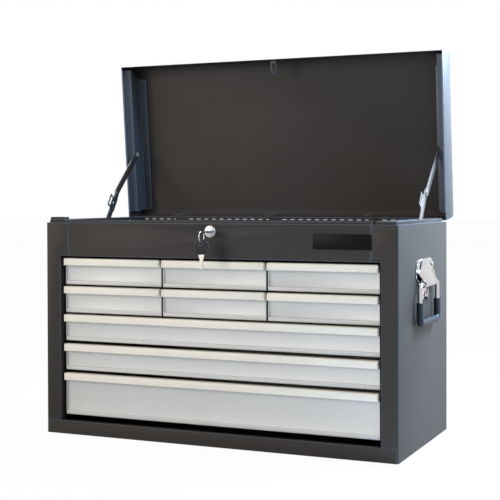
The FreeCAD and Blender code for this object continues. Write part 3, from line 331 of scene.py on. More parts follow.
# Near-white and only partly metallic: a painted glint on the stay rivets.
GLINT_RIVET_STEEL = Finish("rivet steel with painted glint", (0.86, 0.88, 0.92), 0.3, metallic=0.35,
                     grain=0.6, depth=0.01)
GRIP_RUBBER = Finish("black grip sleeve", (0.018, 0.0215, 0.029), 0.45,
                     grain=0.5, depth=0.03, gloss=0.22)
KEY_BLACK = Finish("black key head", (0.014, 0.014, 0.016), 0.5,
                   grain=0.4, depth=0.03, edge=0.35, gloss=0.2)
BLADE_NICKEL = Finish("nickel brass key blade", (0.43, 0.405, 0.345), 0.3, metallic=1.0,
                      grain=0.8, depth=0.02, patch=0.12)
BADGE_GLOSS = Finish("bare badge gloss", (0.004, 0.004, 0.005), 0.42,
                     grain=3.0, depth=0.005, gloss=0.08)

NODE_FINISHES = {
    "cabinet_slides": ZINC, "hinge_pins": SHADED_HINGE_COAT,
    "stay_lid_rivets": GLINT_RIVET_STEEL, "lock_cam": ZINC,
}


# ---------------------------------------------------------------- workshop
def near(value: float, *targets: float, within: float = 0.05) -> bool:
    """Whether a value lies close to any of the targets."""
    return any(abs(value - target) < within for target in targets)


def level(direction: Vector) -> bool:
    """Whether an edge runs level."""
    return abs(direction.z) < 0.1


def upright(direction: Vector) -> bool:
    """Whether an edge or a normal stands upright."""
    return abs(direction.z) > 0.9


def across(direction: Vector) -> bool:
    """Whether an edge runs from side to side."""
    return abs(direction.x) > 0.9


class Workpiece:
    """A mesh that is shaped with Blender's own tools. Every length is in millimetres."""

    smooth_angle = math.radians(32)
    merge_gap = 0.002 * MM
    flat_angle = math.radians(1.0)
    ring_sides = 64
    wire_sides = 12

    def __init__(self, obj: bpy.types.Object) -> None:
        """Take hold of an object that is already a mesh."""
        self.obj = obj

    @staticmethod
    def rest() -> None:
        """Leave edit mode and deselect everything."""
        if bpy.context.object and bpy.context.object.mode != "OBJECT":
            bpy.ops.object.mode_set(mode="OBJECT")
        bpy.ops.object.select_all(action="DESELECT")

    @classmethod
    def _added(cls, name: str) -> "Workpiece":
        """Name the primitive that was just added and put its place in its mesh.

        Args:
            name: The piece's name.

        Returns:
            The piece.
        """
        obj = bpy.context.object
        obj.name = obj.data.name = name
        bpy.ops.object.transform_apply(location=True, rotation=True, scale=True)
        return cls(obj)

    @classmethod
    def box(cls, name: str, low: Place, high: Place) -> "Workpiece":
        """Start from a block.

        Args:
            name: The piece's name.
            low: Lowest corner.
            high: Highest corner.

        Returns:
            The piece.
        """
        cls.rest()
        low_corner, high_corner = Vector(low) * MM, Vector(high) * MM
        bpy.ops.mesh.primitive_cube_add(size=1, location=(low_corner + high_corner) / 2,
                                        scale=high_corner - low_corner)
        return cls._added(name)

    @classmethod
    def rod(cls, name: str, axis: Axis, start: Place, radius: float, length: float,
            sides: int = 64) -> "Workpiece":
        """Start from a round bar.

        Args:
            name: The piece's name.
            axis: The way that the bar runs.
            start: Middle of its lower end.
            radius: Its radius.
            length: Its length.
            sides: Faces round it.

        Returns:
            The piece.
        """
        cls.rest()
        middle = (Vector(start) + axis.step * length / 2) * MM
        bpy.ops.mesh.primitive_cylinder_add(vertices=sides, radius=radius * MM,
                                            depth=length * MM, location=middle,
                                            rotation=axis.value)
        return cls._added(name)

    @classmethod
    def ring(cls, name: str, centre: Place, radius: float, wire: float) -> "Workpiece":
        """Start from a ring of round wire that lies across X.

        Args:
            name: The piece's name.
            centre: The ring's centre.
            radius: Radius of the wire's centre line.
            wire: Radius of the wire.

        Returns:
            The piece.
        """
        cls.rest()
        bpy.ops.mesh.primitive_torus_add(major_radius=radius * MM, minor_radius=wire * MM,
                                         major_segments=cls.ring_sides,
                                         minor_segments=cls.wire_sides,
                                         location=Vector(centre) * MM,
                                         rotation=Axis.X.value)
        return cls._added(name)

    @classmethod
    def copy_of(cls, node: bpy.types.Object, name: str) -> "Workpiece":
        """Start from a merged copy of one of the frame's nodes.

        Args:
            node: The node's object.
            name: The copy's name.

        Returns:
            The piece.
        """
        cls.rest()
        node.select_set(True)
        bpy.context.view_layer.objects.active = node
        bpy.ops.object.duplicate()
        obj = bpy.context.object
        obj.parent = None
        obj.name = obj.data.name = name
        for key in list(obj.keys()):
            del obj[key]
        obj.data.materials.clear()
        piece = cls(obj)
        piece.edges(lambda middle, run: True)
        bpy.ops.mesh.remove_doubles(threshold=cls.merge_gap)
        bpy.ops.mesh.dissolve_limited(angle_limit=cls.flat_angle)
        return piece

    def _take(self) -> None:
        """Select this piece alone, in object mode."""
        self.rest()
        self.obj.select_set(True)
        bpy.context.view_layer.objects.active = self.obj

    def _open(self, element: str) -> bmesh.types.BMesh:
        """Enter edit mode on this piece alone.

        Args:
            element: What will be selected, FACE or EDGE.

        Returns:
            The mesh, with nothing selected.
        """
        if bpy.context.object is not self.obj or self.obj.mode != "EDIT":
            self._take()
            bpy.ops.object.mode_set(mode="EDIT")
        bpy.ops.mesh.select_mode(type="VERT")
        bpy.ops.mesh.select_all(action="DESELECT")
        bpy.ops.mesh.select_mode(type=element)
        return bmesh.from_edit_mesh(self.obj.data)

    def faces(self, test: Test) -> "Workpiece":
        """Select faces.

        Args:
            test: Whether a face is meant, by its middle and its normal.

        Returns:
            This piece.
        """
        mesh = self._open("FACE")
        for face in mesh.faces:
            face.select_set(test(face.calc_center_median() / MM, face.normal))
        bmesh.update_edit_mesh(self.obj.data)
        return self

    def edges(self, test: Test) -> "Workpiece":
        """Select edges.

        Args:
            test: Whether an edge is meant, by its middle and its direction.

        Returns:
            This piece.
        """
        mesh = self._open("EDGE")
        for edge in mesh.edges:
            one, other = (vertex.co for vertex in edge.verts)
            edge.select_set(test((one + other) / (2 * MM), (other - one).normalized()))
        bmesh.update_edit_mesh(self.obj.data)
        return self

    def slice(self, height: float) -> "Workpiece":
        """Cut a line right round the piece at one height.

        Args:
            height: The line's height.

        Returns:
            This piece.
        """
        self.faces(lambda middle, way: True)
        bpy.ops.mesh.bisect(plane_co=Vector((0, 0, height)) * MM, plane_no=(0, 0, 1))
        return self

    def inset(self, width: float) -> "Workpiece":
        """Inset the selected faces."""
        bpy.ops.mesh.inset(thickness=width * MM, use_even_offset=True)
        return self

    def extrude(self, x: float = 0.0, y: float = 0.0, z: float = 0.0) -> "Workpiece":
        """Extrude the selection by a distance."""
        step = Vector((x, y, z)) * MM
        bpy.ops.mesh.extrude_region_move(TRANSFORM_OT_translate={"value": step})
        return self

    def move(self, x: float = 0.0, y: float = 0.0, z: float = 0.0) -> "Workpiece":
        """Move the selection by a distance."""
        bpy.ops.transform.translate(value=Vector((x, y, z)) * MM)
        return self

    def scale(self, centre: Place, by: tuple[float, float, float]) -> "Workpiece":
        """Scale the selection about a point."""
        bpy.ops.transform.resize(value=by, center_override=Vector(centre) * MM)
        return self

    def bevel(self, width: float, segments: int = 3) -> "Workpiece":
        """Round the selected edges."""
        bpy.ops.mesh.bevel(offset=width * MM, segments=segments, affect="EDGES",
                           clamp_overlap=True)
        return self

    def _modify(self, kind: str, **settings: object) -> "Workpiece":
        """Add a modifier and apply it.

        Args:
            kind: The modifier's type.
            **settings: Its values.

        Returns:
            This piece.
        """
        self._take()
        modifier = self.obj.modifiers.new(kind.lower(), kind)
        for key, value in settings.items():
            setattr(modifier, key, value)
        bpy.ops.object.modifier_apply(modifier=modifier.name)
        return self

    def soften(self, width: float, segments: int = 2, angle: float = 35.0) -> "Workpiece":
        """Round every edge sharper than an angle."""
        return self._modify("BEVEL", width=width * MM, segments=segments,
                            limit_method="ANGLE", angle_limit=math.radians(angle),
                            harden_normals=False)

    def carve(self, cutter: "Workpiece") -> "Workpiece":
        """Take another piece's shape out of this one, and discard that piece."""
        self._modify("BOOLEAN", operation="DIFFERENCE", solver="EXACT", object=cutter.obj)
        bpy.data.objects.remove(cutter.obj)
        return self

    def join(self, *others: "Workpiece") -> "Workpiece":
        """Make other pieces part of this one's mesh.

        Args:
            *others: The pieces that are taken in.

        Returns:
            This piece.
        """
        self.rest()
        for piece in (*others, self):
            piece.obj.select_set(True)
        bpy.context.view_layer.objects.active = self.obj
        bpy.ops.object.join()
        return self

    def paint(self, finish: Finish) -> "Workpiece":
        """Give the whole piece a finish."""
        self.obj.data.materials.clear()
        self.obj.data.materials.append(finish.material())
        return self

    def fit(self, body: str, slot: str, *nodes: str) -> None:
        """Set the finished piece on its body in place of the nodes that it stands for.

        Args:
            body: The body that it rides on.
            slot: The record's material slot. Not used.
            *nodes: The nodes that it replaces.
        """
        self._take()
        bpy.ops.object.shade_smooth_by_angle(angle=self.smooth_angle)
        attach(self.obj, body)
        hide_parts(*nodes)
        LOG.info("%s rides on %s", self.obj.name, body)


# ---------------------------------------------------------------- sheets and fittings
@dataclass
class SheetMetal:
    """Folded sheets and plated fittings, with their cut and folded edges rounded.

    Attributes:
        body: The body that they ride on.
        slot: The record's material slot.
        finish: The paint or plating.
        sheets: Node name and edge radius of each one.
    """

    body: str
    slot: str
    finish: Finish
    sheets: dict[str, float]

    def build(self, nodes: dict[str, bpy.types.Object]) -> None:
        """Model every sheet from its node.

        Args:
            nodes: The frame's nodes.
        """
        for node, radius in self.sheets.items():
            piece = Workpiece.copy_of(nodes[node], f"{node}_sheet")
            self.shape(node, piece)
            piece.soften(radius).paint(self.finish).fit(self.body, self.slot, node)

    def shape(self, node: str, piece: Workpiece) -> None:
        """Leave the sheet's outline as it is."""


@dataclass
class CaseSheets(SheetMetal):
    """The painted sheets of the case, with the corners that only some of them round.

    Attributes:
        tab_edge: Place of the edge where a side panel laps the header.
        tab_foot: Height of the lap's lower corner.
        tab_round: Radius of that corner.
        rail_front: Front of the rim rails.
        rail_crests: Heights of the rim rails' tops.
        rail_round: Radius of the rails' front edges.
        slot_floor: Height of the floors of the rack's slots.
        slot_raise: How much shallower the slots are made.
    """

    tab_edge: float = 285.0
    tab_foot: float = 327.0
    tab_round: float = 5.0
    rail_front: float = -149.0
    rail_crests: tuple[float, float] = (386.5, 391.0)
    rail_round: float = 3.0
    slot_floor: float = 377.0
    slot_raise: float = 5.4

    def shape(self, node: str, piece: Workpiece) -> None:
        """Round the corners of the laps and the rails, and make the rack's slots shallower.

        Args:
            node: The node's name.
            piece: The copy of it that is shaped.
        """
        if node.startswith("side_panel"):
            piece.edges(lambda p, d: abs(d.y) > 0.9 and near(abs(p.x), self.tab_edge)
                        and near(p.z, self.tab_foot)).bevel(self.tab_round, 6)
        elif node.startswith("rim_rail"):
            piece.edges(lambda p, d: across(d) and near(p.y, self.rail_front)
                        and near(p.z, *self.rail_crests)).bevel(self.rail_round, 5)
        elif node == "tool_rack_strip":
            piece.faces(lambda p, n: n.z > 0.9
                        and near(p.z, self.slot_floor)).move(z=self.slot_raise)


def sheet_groups() -> list[SheetMetal]:
    """Return every group of sheets and fittings, in the order in which they are made.

    Returns:
        The groups.
    """
    groups = [
        CaseSheets("case", "case_paint", POWDER_COAT, {
            "side_panel_left": 0.35, "side_panel_right": 0.35, "back_panel": 0.35,
            "base_pan": 0.4, "header_rail": 0.35, "till_floor": 0.35, "rim_rail_left": 0.4,
            "rim_rail_right": 0.4, "tool_rack_strip": 0.2, "drawer_partitions": 0.3}),
        SheetMetal("lid", "case_paint", LIT_LID_COAT, {"lid_skin": 0.35}),
        SheetMetal("lid", "case_paint", LIT_FOLD_COAT, {
            "lid_end_left": 0.35, "lid_end_right": 0.35}),
        SheetMetal("lid", "case_paint", BLUE_LIT_CHANNEL_COAT, {
            "lid_channel_left": 0.4, "lid_channel_right": 0.4}),
        SheetMetal("case", "badge", BADGE_GLOSS, {"badge_plate": 0.5}),
        SheetMetal("case", "dark_steel", SHADED_HINGE_COAT, {"hinge_case_leaves": 0.3}),
        SheetMetal("lid", "dark_steel", SHADED_HINGE_COAT, {"hinge_lid_leaves": 0.3}),
        SheetMetal("lid", "dark_steel", CATCH_STEEL, {"lid_catch": 0.3}),
        SheetMetal("case", "zinc", ZINC, {"stay_brackets": 0.3}),
    ]
    for side in Side:
        word = side.word
        groups += [
            SheetMetal("case", "chrome", CHROME, {f"handle_plate_{word}": 0.4}),
            SheetMetal(f"bail_{word}", "chrome", CHROME, {f"handle_bail_{word}": 0.3}),
            SheetMetal(f"bail_{word}", "grip", GRIP_RUBBER, {f"handle_grip_{word}": 0.6}),
            SheetMetal(f"stay_upper_{word}", "zinc", ZINC, {f"stay_upper_{word}": 0.3}),
            SheetMetal(f"stay_lower_{word}", "zinc", ZINC, {
                f"stay_lower_{word}": 0.3, f"stay_stop_{word}": 0.3}),
        ]
    groups.append(SheetMetal("case", "chrome", CHROME, {"handle_rivets": 1.2}))
    return groups


# ---------------------------------------------------------------- drawers
@dataclass(frozen=True)
class Bay:
    """The place of one drawer in the case.

    Attributes:
        name: Row and column, as the frame's nodes spell them.
        left: Left edge of the drawer's front.
        right: Right edge of the front.
        top: Top of the pull.
        height: Height from the front's foot to the pull's top.
        face: Place of the sunk front sheet.
        gauge: Thickness of the sheet.
    """

    name: str
    left: float
    right: float
    top: float
    height: float
    face: float = FRONT + 14.0
    gauge: float = 1.0

    @property
    def foot(self) -> float:
        """Lower edge of the front."""
        return self.top - self.height


@dataclass
class Tray:
    """The folded box of a drawer, with the two flanges that it slides on.

    Attributes:
        bay: The drawer's place.
        lift: How far the box's foot lies over the front's foot.
        drop: How far the box's rim lies under the pull's top.
        rear: Back of the box.
        flange: Width of each flange.
        fold: Radius of the folds round the foot.
        burr: Radius of the cut edges.
    """

    bay: Bay
    lift: float = 3.0
    drop: float = 9.0
    rear: float = BACK - 22.0
    flange: float = 5.0
    fold: float = 1.2
    burr: float = 0.25

    def build(self) -> Workpiece:
        """Return the tray.

        Returns:
            The piece, without its finish.
        """
        bay = self.bay
        foot, rim = bay.foot + self.lift, bay.top - self.drop
        left, right, hem = bay.left + self.flange, bay.right - self.flange, rim - bay.gauge
        piece = Workpiece.box(f"drawer_{bay.name}_tray", (left, bay.face + bay.gauge, foot),
                              (right, self.rear, rim))
        piece.faces(lambda p, n: n.z > 0.9).inset(bay.gauge).extrude(z=foot - rim + bay.gauge)
        piece.slice(hem)
        piece.faces(lambda p, n: n.x < -0.9 and p.z > hem and near(p.x, left))
        piece.extrude(x=-self.flange)
        piece.faces(lambda p, n: n.x > 0.9 and p.z > hem and near(p.x, right))
        piece.extrude(x=self.flange)
        piece.edges(lambda p, d: near(p.z, foot)
                    and (near(p.x, left, right) or near(p.y, self.rear))).bevel(self.fold)
        return piece.soften(self.burr, 1, 60.0)


@dataclass
class DrawerFront:
    """The front sheet of a drawer, sunk between its side lips and the raised band.

    Attributes:
        bay: The drawer's place.
        drop: How far its upper edge lies under the pull's top.
        band: Height of the raised band along the foot.
        step: How far the band and the side lips stand forward.
        lip: Width of the side lips.
        foot_round: Radius of the band's lower edge.
        band_round: Radius of the band's upper edge.
        burr: Radius of the cut edges.
    """

    bay: Bay
    drop: float = 1.5
    band: float = 6.0
    step: float = 3.5
    lip: float = 1.2
    foot_round: float = 2.2
    band_round: float = 1.6
    burr: float = 0.25

    def build(self) -> Workpiece:
        """Return the front.

        Returns:
            The piece, without its finish.
        """
        bay = self.bay
        ridge, shelf = bay.face - self.step, bay.foot + self.band
        piece = Workpiece.box(f"drawer_{bay.name}_front", (bay.left, ridge, bay.foot),
                              (bay.right, bay.face + bay.gauge, bay.top - self.drop))
        piece.slice(shelf)
        piece.faces(lambda p, n: n.y < -0.9 and p.z > shelf)
        piece.inset(self.lip).extrude(y=self.step)
        piece.edges(lambda p, d: across(d) and near(p.y, ridge)
                    and near(p.z, bay.foot)).bevel(self.foot_round, 5)
        piece.edges(lambda p, d: across(d) and near(p.y, ridge)
                    and near(p.z, shelf + self.lip)).bevel(self.band_round, 4)
        return piece.soften(self.burr, 2, 50.0)


@dataclass
class Pull:
    """The moulded pull along a drawer's top: a hood, hollow from below, between two caps.

    Attributes:
        bay: The drawer's place.
        height: Height of the pull.
        depth: Depth of the pull.
        cap: Length of each end cap.
        lap: How far the hood runs into a cap.
        set_back: How far the hood's front lies behind the caps' fronts.
        set_down: How far the hood's top lies under the caps' tops.
        wall: Thickness of the hood's walls.
        roof: Thickness of the hood's top.
        nose_round: Radius along the hood's upper front edge.
        lip_round: Radius along the hood's lower front edge.
        corner_round: Radius of a cap's upright corner.
        crown_round: Radius round a cap's top.
        flash: Radius of the other edges.
    """

    bay: Bay
    height: float = 13.0
    depth: float = 13.0
    cap: float = 5.0
    lap: float = 0.15
    set_back: float = 0.2
    set_down: float = 0.1
    wall: float = 1.5
    roof: float = 3.0
    nose_round: float = 2.6
    lip_round: float = 1.2
    corner_round: float = 3.4
    crown_round: float = 2.4
    flash: float = 0.2

    @property
    def low(self) -> float:
        """Underside of the pull."""
        return self.bay.top - self.height

    @property
    def front(self) -> float:
        """Front of the caps."""
        return self.bay.face - self.depth

    def build(self) -> Workpiece:
        """Return the pull.

        Returns:
            The piece, without its finish.
        """
        bay = self.bay
        nose, crest = self.front + self.set_back, bay.top - self.set_down
        hood = Workpiece.box(f"drawer_{bay.name}_pull", (bay.left + self.cap, nose, self.low),
                             (bay.right - self.cap, bay.face, crest))
        hood.faces(lambda p, n: n.z < -0.9).inset(self.wall)
        hood.extrude(z=self.height - self.roof)
        hood.edges(lambda p, d: across(d) and near(p.y, nose)
                   and near(p.z, crest)).bevel(self.nose_round, 6)
        hood.edges(lambda p, d: across(d) and near(p.y, nose)
                   and near(p.z, self.low)).bevel(self.lip_round, 4)
        caps = [self._cap(bay.left, Side.LEFT), self._cap(bay.right, Side.RIGHT)]
        return hood.soften(self.flash, 2, 60.0).join(*caps)

    def _cap(self, place: float, side: Side) -> Workpiece:
        """Return one end cap.

        Args:
            place: The outer end of the pull.
            side: The end that the cap closes.

        Returns:
            The cap.
        """
        back, top = self.bay.face, self.bay.top
        inner = place - side.value * (self.cap - self.lap)
        low_x, high_x = sorted((inner, place))
        cap = Workpiece.box("cap", (low_x, self.front, self.low), (high_x, back, top))
        cap.edges(lambda p, d: upright(d) and near(p.x, place)
                  and near(p.y, self.front)).bevel(self.corner_round, 6)
        cap.edges(lambda p, d: level(d) and near(p.z, top) and not near(p.y, back)
                  and not near(p.x, inner)).bevel(self.crown_round, 5)
        return cap.soften(self.flash, 2, 60.0)


@dataclass
class DrawerStack:
    """The nine drawers in their rows: two rows of three short ones, then three wide ones.

    Attributes:
        reach: Half of a full row's width.
        gap: Gap between short drawers.
        short_rows: How many rows, from the top, hold three short drawers.
        rows: Top and height of each row.
    """

    reach: float = 296.0
    gap: float = 4.0
    short_rows: int = 2
    rows: tuple[tuple[float, float], ...] = (
        (317.0, 48.0), (266.2, 48.0), (215.4, 48.0), (162.6, 48.0), (109.8, 76.3))

    def bays(self) -> list[Bay]:
        """Return the places of all the drawers, from the top row down.

        Returns:
            The places.
        """
        width = (2 * self.reach - 2 * self.gap) / 3
        starts = {"left": -self.reach, "centre": -width / 2, "right": self.reach - width}
        bays = []
        for number, (top, height) in enumerate(self.rows, start=1):
            if number <= self.short_rows:
                bays += [Bay(f"row{number}_{word}", start, start + width, top, height)
                         for word, start in starts.items()]
            else:
                bays.append(Bay(f"row{number}", -self.reach, self.reach, top, height))
        return bays

    def build(self) -> None:
        """Model the tray, the front and the pull of every drawer."""
        for bay in self.bays():
            tray, front, pull = Tray(bay).build(), DrawerFront(bay).build(), Pull(bay).build()
            body = f"drawer_{bay.name}"
            tray.join(front).paint(DRAWER_ENAMEL)
            tray.fit(body, "drawer_paint", f"drawer_tray_{bay.name}")
            pull.paint(PULL_PLASTIC).fit(body, "pull_plastic", f"drawer_pull_{bay.name}")


# ---------------------------------------------------------------- lock and keys
@dataclass
class Key:
    """A key that lies flat, with its blade pointing into the lock.

    Attributes:
        x: Place of its middle line.
        z: Height of its middle plane.
        shoulder: Place where the head meets the blade.
        head_length: Length of the head.
        head_width: Width of the head.
        head_thick: Thickness of the head.
        far_round: Corner radius at the head's far end.
        near_round: Corner radius at the head's blade end.
        flash: Radius of the head's other edges.
        hole: Radius of the hole in the head.
        bridge: Width of the head between the hole and its end.
        collar: Half width of the blade where it leaves the head.
        collar_length: Length of the part that tapers from it.
        taper: Share of the width that is left where the taper ends.
        blade_thick: Thickness of the blade.
        blade_length: Length of the blade past the taper.
        bitting: Distance from the head and depth of each cut.
        cut_line: Distance of the cutter's centre from the middle line at no depth.
        cutter: Radius of the four-sided cutter.
        tip: Distance of the tip from the head.
        tip_round: Radius at the tip's corners.
        groove: Least and greatest corner of the groove, from the shoulder's middle.
        clear: How far the cutters stand out of the piece.
    """

    x: float
    z: float
    shoulder: float
    head_length: float = 25.0
    head_width: float = 26.0
    head_thick: float = 2.4
    far_round: float = 8.0
    near_round: float = 4.0
    flash: float = 0.5
    hole: float = 3.6
    bridge: float = 3.0
    collar: float = 5.5
    collar_length: float = 8.5
    taper: float = 0.55
    blade_thick: float = 1.8
    blade_length: float = 15.5
    bitting: tuple[tuple[float, float], ...] = (
        (11.0, 0.9), (13.5, 1.9), (16.0, 1.2), (18.5, 2.1), (21.0, 1.0))
    cut_line: float = 4.9
    cutter: float = 1.9
    tip: float = 24.0
    tip_round: float = 1.6
    groove: tuple[Place, Place] = ((-1.3, 9.0, 0.5), (-0.3, 25.0, 2.0))
    clear: float = 3.0

    @property
    def far_end(self) -> float:
        """Place of the head's far end."""
        return self.shoulder - self.head_length

    def build(self, name: str) -> Workpiece:
        """Return the key.

        Args:
            name: The piece's name.

        Returns:
            The piece, with its head and its blade in their own finishes.
        """
        return self._head(name).paint(KEY_BLACK).join(self._blade().paint(BLADE_NICKEL))

    def _head(self, name: str) -> Workpiece:
        """Return the moulded head with its hole.

        Args:
            name: The piece's name.

        Returns:
            The head.
        """
        half = Vector((self.head_width, 0.0, self.head_thick)) / 2
        head = Workpiece.box(name, (self.x - half.x, self.far_end, self.z - half.z),
                             (self.x + half.x, self.shoulder, self.z + half.z))
        head.edges(lambda p, d: upright(d) and near(p.y, self.far_end))
        head.bevel(self.far_round, 8)
        head.edges(lambda p, d: upright(d) and near(p.y, self.shoulder))
        head.bevel(self.near_round, 6)
        head.edges(lambda p, d: level(d)).bevel(self.flash, 3)
        start = (self.x, self.far_end + self.bridge + self.hole, self.z - self.clear)
        return head.carve(Workpiece.rod("eye", Axis.Z, start, self.hole, 2 * self.clear, 32))

    def _blade(self) -> Workpiece:
        """Return the blade with its cuts, its groove and its rounded tip.

        Returns:
            The blade.
        """
        half, taper_end = self.blade_thick / 2, self.shoulder + self.collar_length
        blade = Workpiece.box("blade", (self.x - self.collar, self.shoulder, self.z - half),
                              (self.x + self.collar, taper_end, self.z + half))
        blade.faces(lambda p, n: n.y > 0.9)
        blade.scale((self.x, taper_end, self.z), (self.taper, 1.0, 1.0))
        blade.extrude(y=self.blade_length)
        for cut, depth in self.bitting:
            start = (self.x + self.cut_line - depth, self.shoulder + cut, self.z - self.clear)
            notch = Workpiece.rod("notch", Axis.Z, start, self.cutter, 2 * self.clear, 4)
            blade.carve(notch)
        blade.edges(lambda p, d: upright(d) and near(p.y, self.shoulder + self.tip))
        blade.bevel(self.tip_round, 4)
        low, high = (Vector(corner) + Vector((self.x, self.shoulder, self.z))
                     for corner in self.groove)
        return blade.carve(Workpiece.box("groove", tuple(low), tuple(high)))

    def hang(self, key: Workpiece, top: float) -> None:
        """Turn a key so that it hangs straight down from the ring.

        Args:
            key: The key, as build returned it.
            top: Height of the head's end once the key hangs.
        """
        turn = Matrix.Rotation(-math.pi / 2, 4, "X")
        pivot = Vector((self.x, self.far_end, self.z)) * MM
        goal = Vector((self.x, self.far_end + self.bridge / 2, top)) * MM
        key.rest()
        key.obj.data.transform(Matrix.Translation(goal) @ turn @ Matrix.Translation(-pivot))


@dataclass
class Lock:
    """Cam lock in the top rail, with a key in it and a spare on the ring.

    Attributes:
        x: Place of the lock across the chest.
        z: Height of the lock.
        bezel: Radius of the domed bezel.
        dome: Radius of the bezel's rounded edge.
        face: Front of the bezel.
        proud: How far the bezel stands out of the rail.
        rim: Width of the bezel round the barrel.
        barrel: Length of the barrel behind the bezel.
        plug: Radius of the turning plug.
        plug_tail: How far the plug stands out behind the barrel.
        chamfer: Chamfer round the plug's face.
        bore: Radius of the bore that the plug turns in.
        bore_length: Length of the cutter that makes the bore.
        slot: Half width, depth and half height of the slot for the key.
        neck: Gap between the bezel and the key's head.
        ring_z: Height of the ring's centre.
        ring_radius: Radius of the ring's centre line.
        wire: Radius of the ring's wire.
        coil_gap: How far each coil lies from the ring's middle.
        spare_top: Top of the spare key's head.
    """

    x: float = -1.0
    z: float = 367.5
    bezel: float = 11.0
    dome: float = 2.9
    face: float = FRONT - 3.0
    proud: float = 3.0
    rim: float = 2.0
    barrel: float = 28.0
    plug: float = 6.0
    plug_tail: float = 2.0
    chamfer: float = 0.6
    bore: float = 6.05
    bore_length: float = 60.0
    slot: Place = (4.3, 17.15, 1.9)
    neck: float = 7.0
    ring_z: float = 360.15
    ring_radius: float = 9.5
    wire: float = 0.42
    coil_gap: float = 0.4
    spare_top: float = 354.63

    def build(self) -> None:
        """Model the housing, the plug, both keys and the ring."""
        self.housing().paint(SHADED_LOCK_CHROME).fit("case", "chrome", "lock_housing")
        self.turning_plug().paint(SHADED_LOCK_CHROME).fit("lock_plug", "chrome", "lock_plug")
        pattern = Key(self.x, self.z, self.face - self.neck)
        pattern.build("key_in_lock").fit("lock_plug", "key_black", "lock_key")
        spare = pattern.build("spare_key_on_ring")
        pattern.hang(spare, self.spare_top)
        spare.fit("key_ring", "key_black", "spare_key")
        ring = self.split_ring(pattern.far_end + pattern.bridge / 2)
        ring.paint(CHROME).fit("key_ring", "chrome", "key_ring")

    def housing(self) -> Workpiece:
        """Return the domed bezel and the barrel behind it, bored for the plug.

        Returns:
            The piece, without its finish.
        """
        piece = Workpiece.rod("lock_bezel", Axis.Y, (self.x, self.face, self.z), self.bezel,
                              self.proud)
        piece.edges(lambda p, d: near(p.y, self.face)).bevel(self.dome, 8)
        piece.faces(lambda p, n: n.y > 0.9 and p.y > self.face + self.proud - 0.1)
        piece.inset(self.rim).extrude(y=self.barrel)
        return piece.carve(Workpiece.rod("bore", Axis.Y, (self.x, self.face - 1, self.z),
                                         self.bore, self.bore_length))

    def turning_plug(self) -> Workpiece:
        """Return the plug with its chamfered face and the slot that the key goes into.

        Returns:
            The piece, without its finish.
        """
        piece = Workpiece.rod("lock_core", Axis.Y, (self.x, self.face, self.z), self.plug,
                              self.proud + self.barrel + self.plug_tail)
        piece.edges(lambda p, d: near(p.y, self.face)).bevel(self.chamfer, 3)
        wide, deep, high = self.slot
        return piece.carve(Workpiece.box("slot", (self.x - wide, self.face - 1, self.z - high),
                                         (self.x + wide, self.face + deep, self.z + high)))

    def split_ring(self, y: float) -> Workpiece:
        """Return the two close coils of the split ring.

        Args:
            y: Place of the ring from front to back.

        Returns:
            The piece, without its finish.
        """
        one, other = (
            Workpiece.ring("key_split_ring", (self.x + side.value * self.coil_gap, y,
                                              self.ring_z), self.ring_radius, self.wire)
            for side in Side)
        return one.join(other)


# ---------------------------------------------------------------- studio
@dataclass(frozen=True)
class SoftBox:
    """A square lamp that faces the chest.

    Attributes:
        name: The lamp's name.
        place: Where it hangs, in metres.
        size: Side of the square, in metres.
        power: Watts.
        colour: Linear colour.
        aim: The point that it faces, in metres.
    """

    name: str
    place: Place
    size: float
    power: float
    colour: Colour
    aim: Place = (0.0, 0.0, 0.3)

    def build(self) -> None:
        """Hang the lamp."""
        Workpiece.rest()
        bpy.ops.object.light_add(type="AREA", location=self.place)
        lamp = bpy.context.object
        lamp.name = self.name
        lamp.data.size = self.size
        lamp.data.energy = self.power
        lamp.data.color = self.colour
        lamp.visible_camera = False
        way = Vector(self.aim) - Vector(self.place)
        lamp.rotation_euler = way.to_track_quat("-Z", "Y").to_euler()


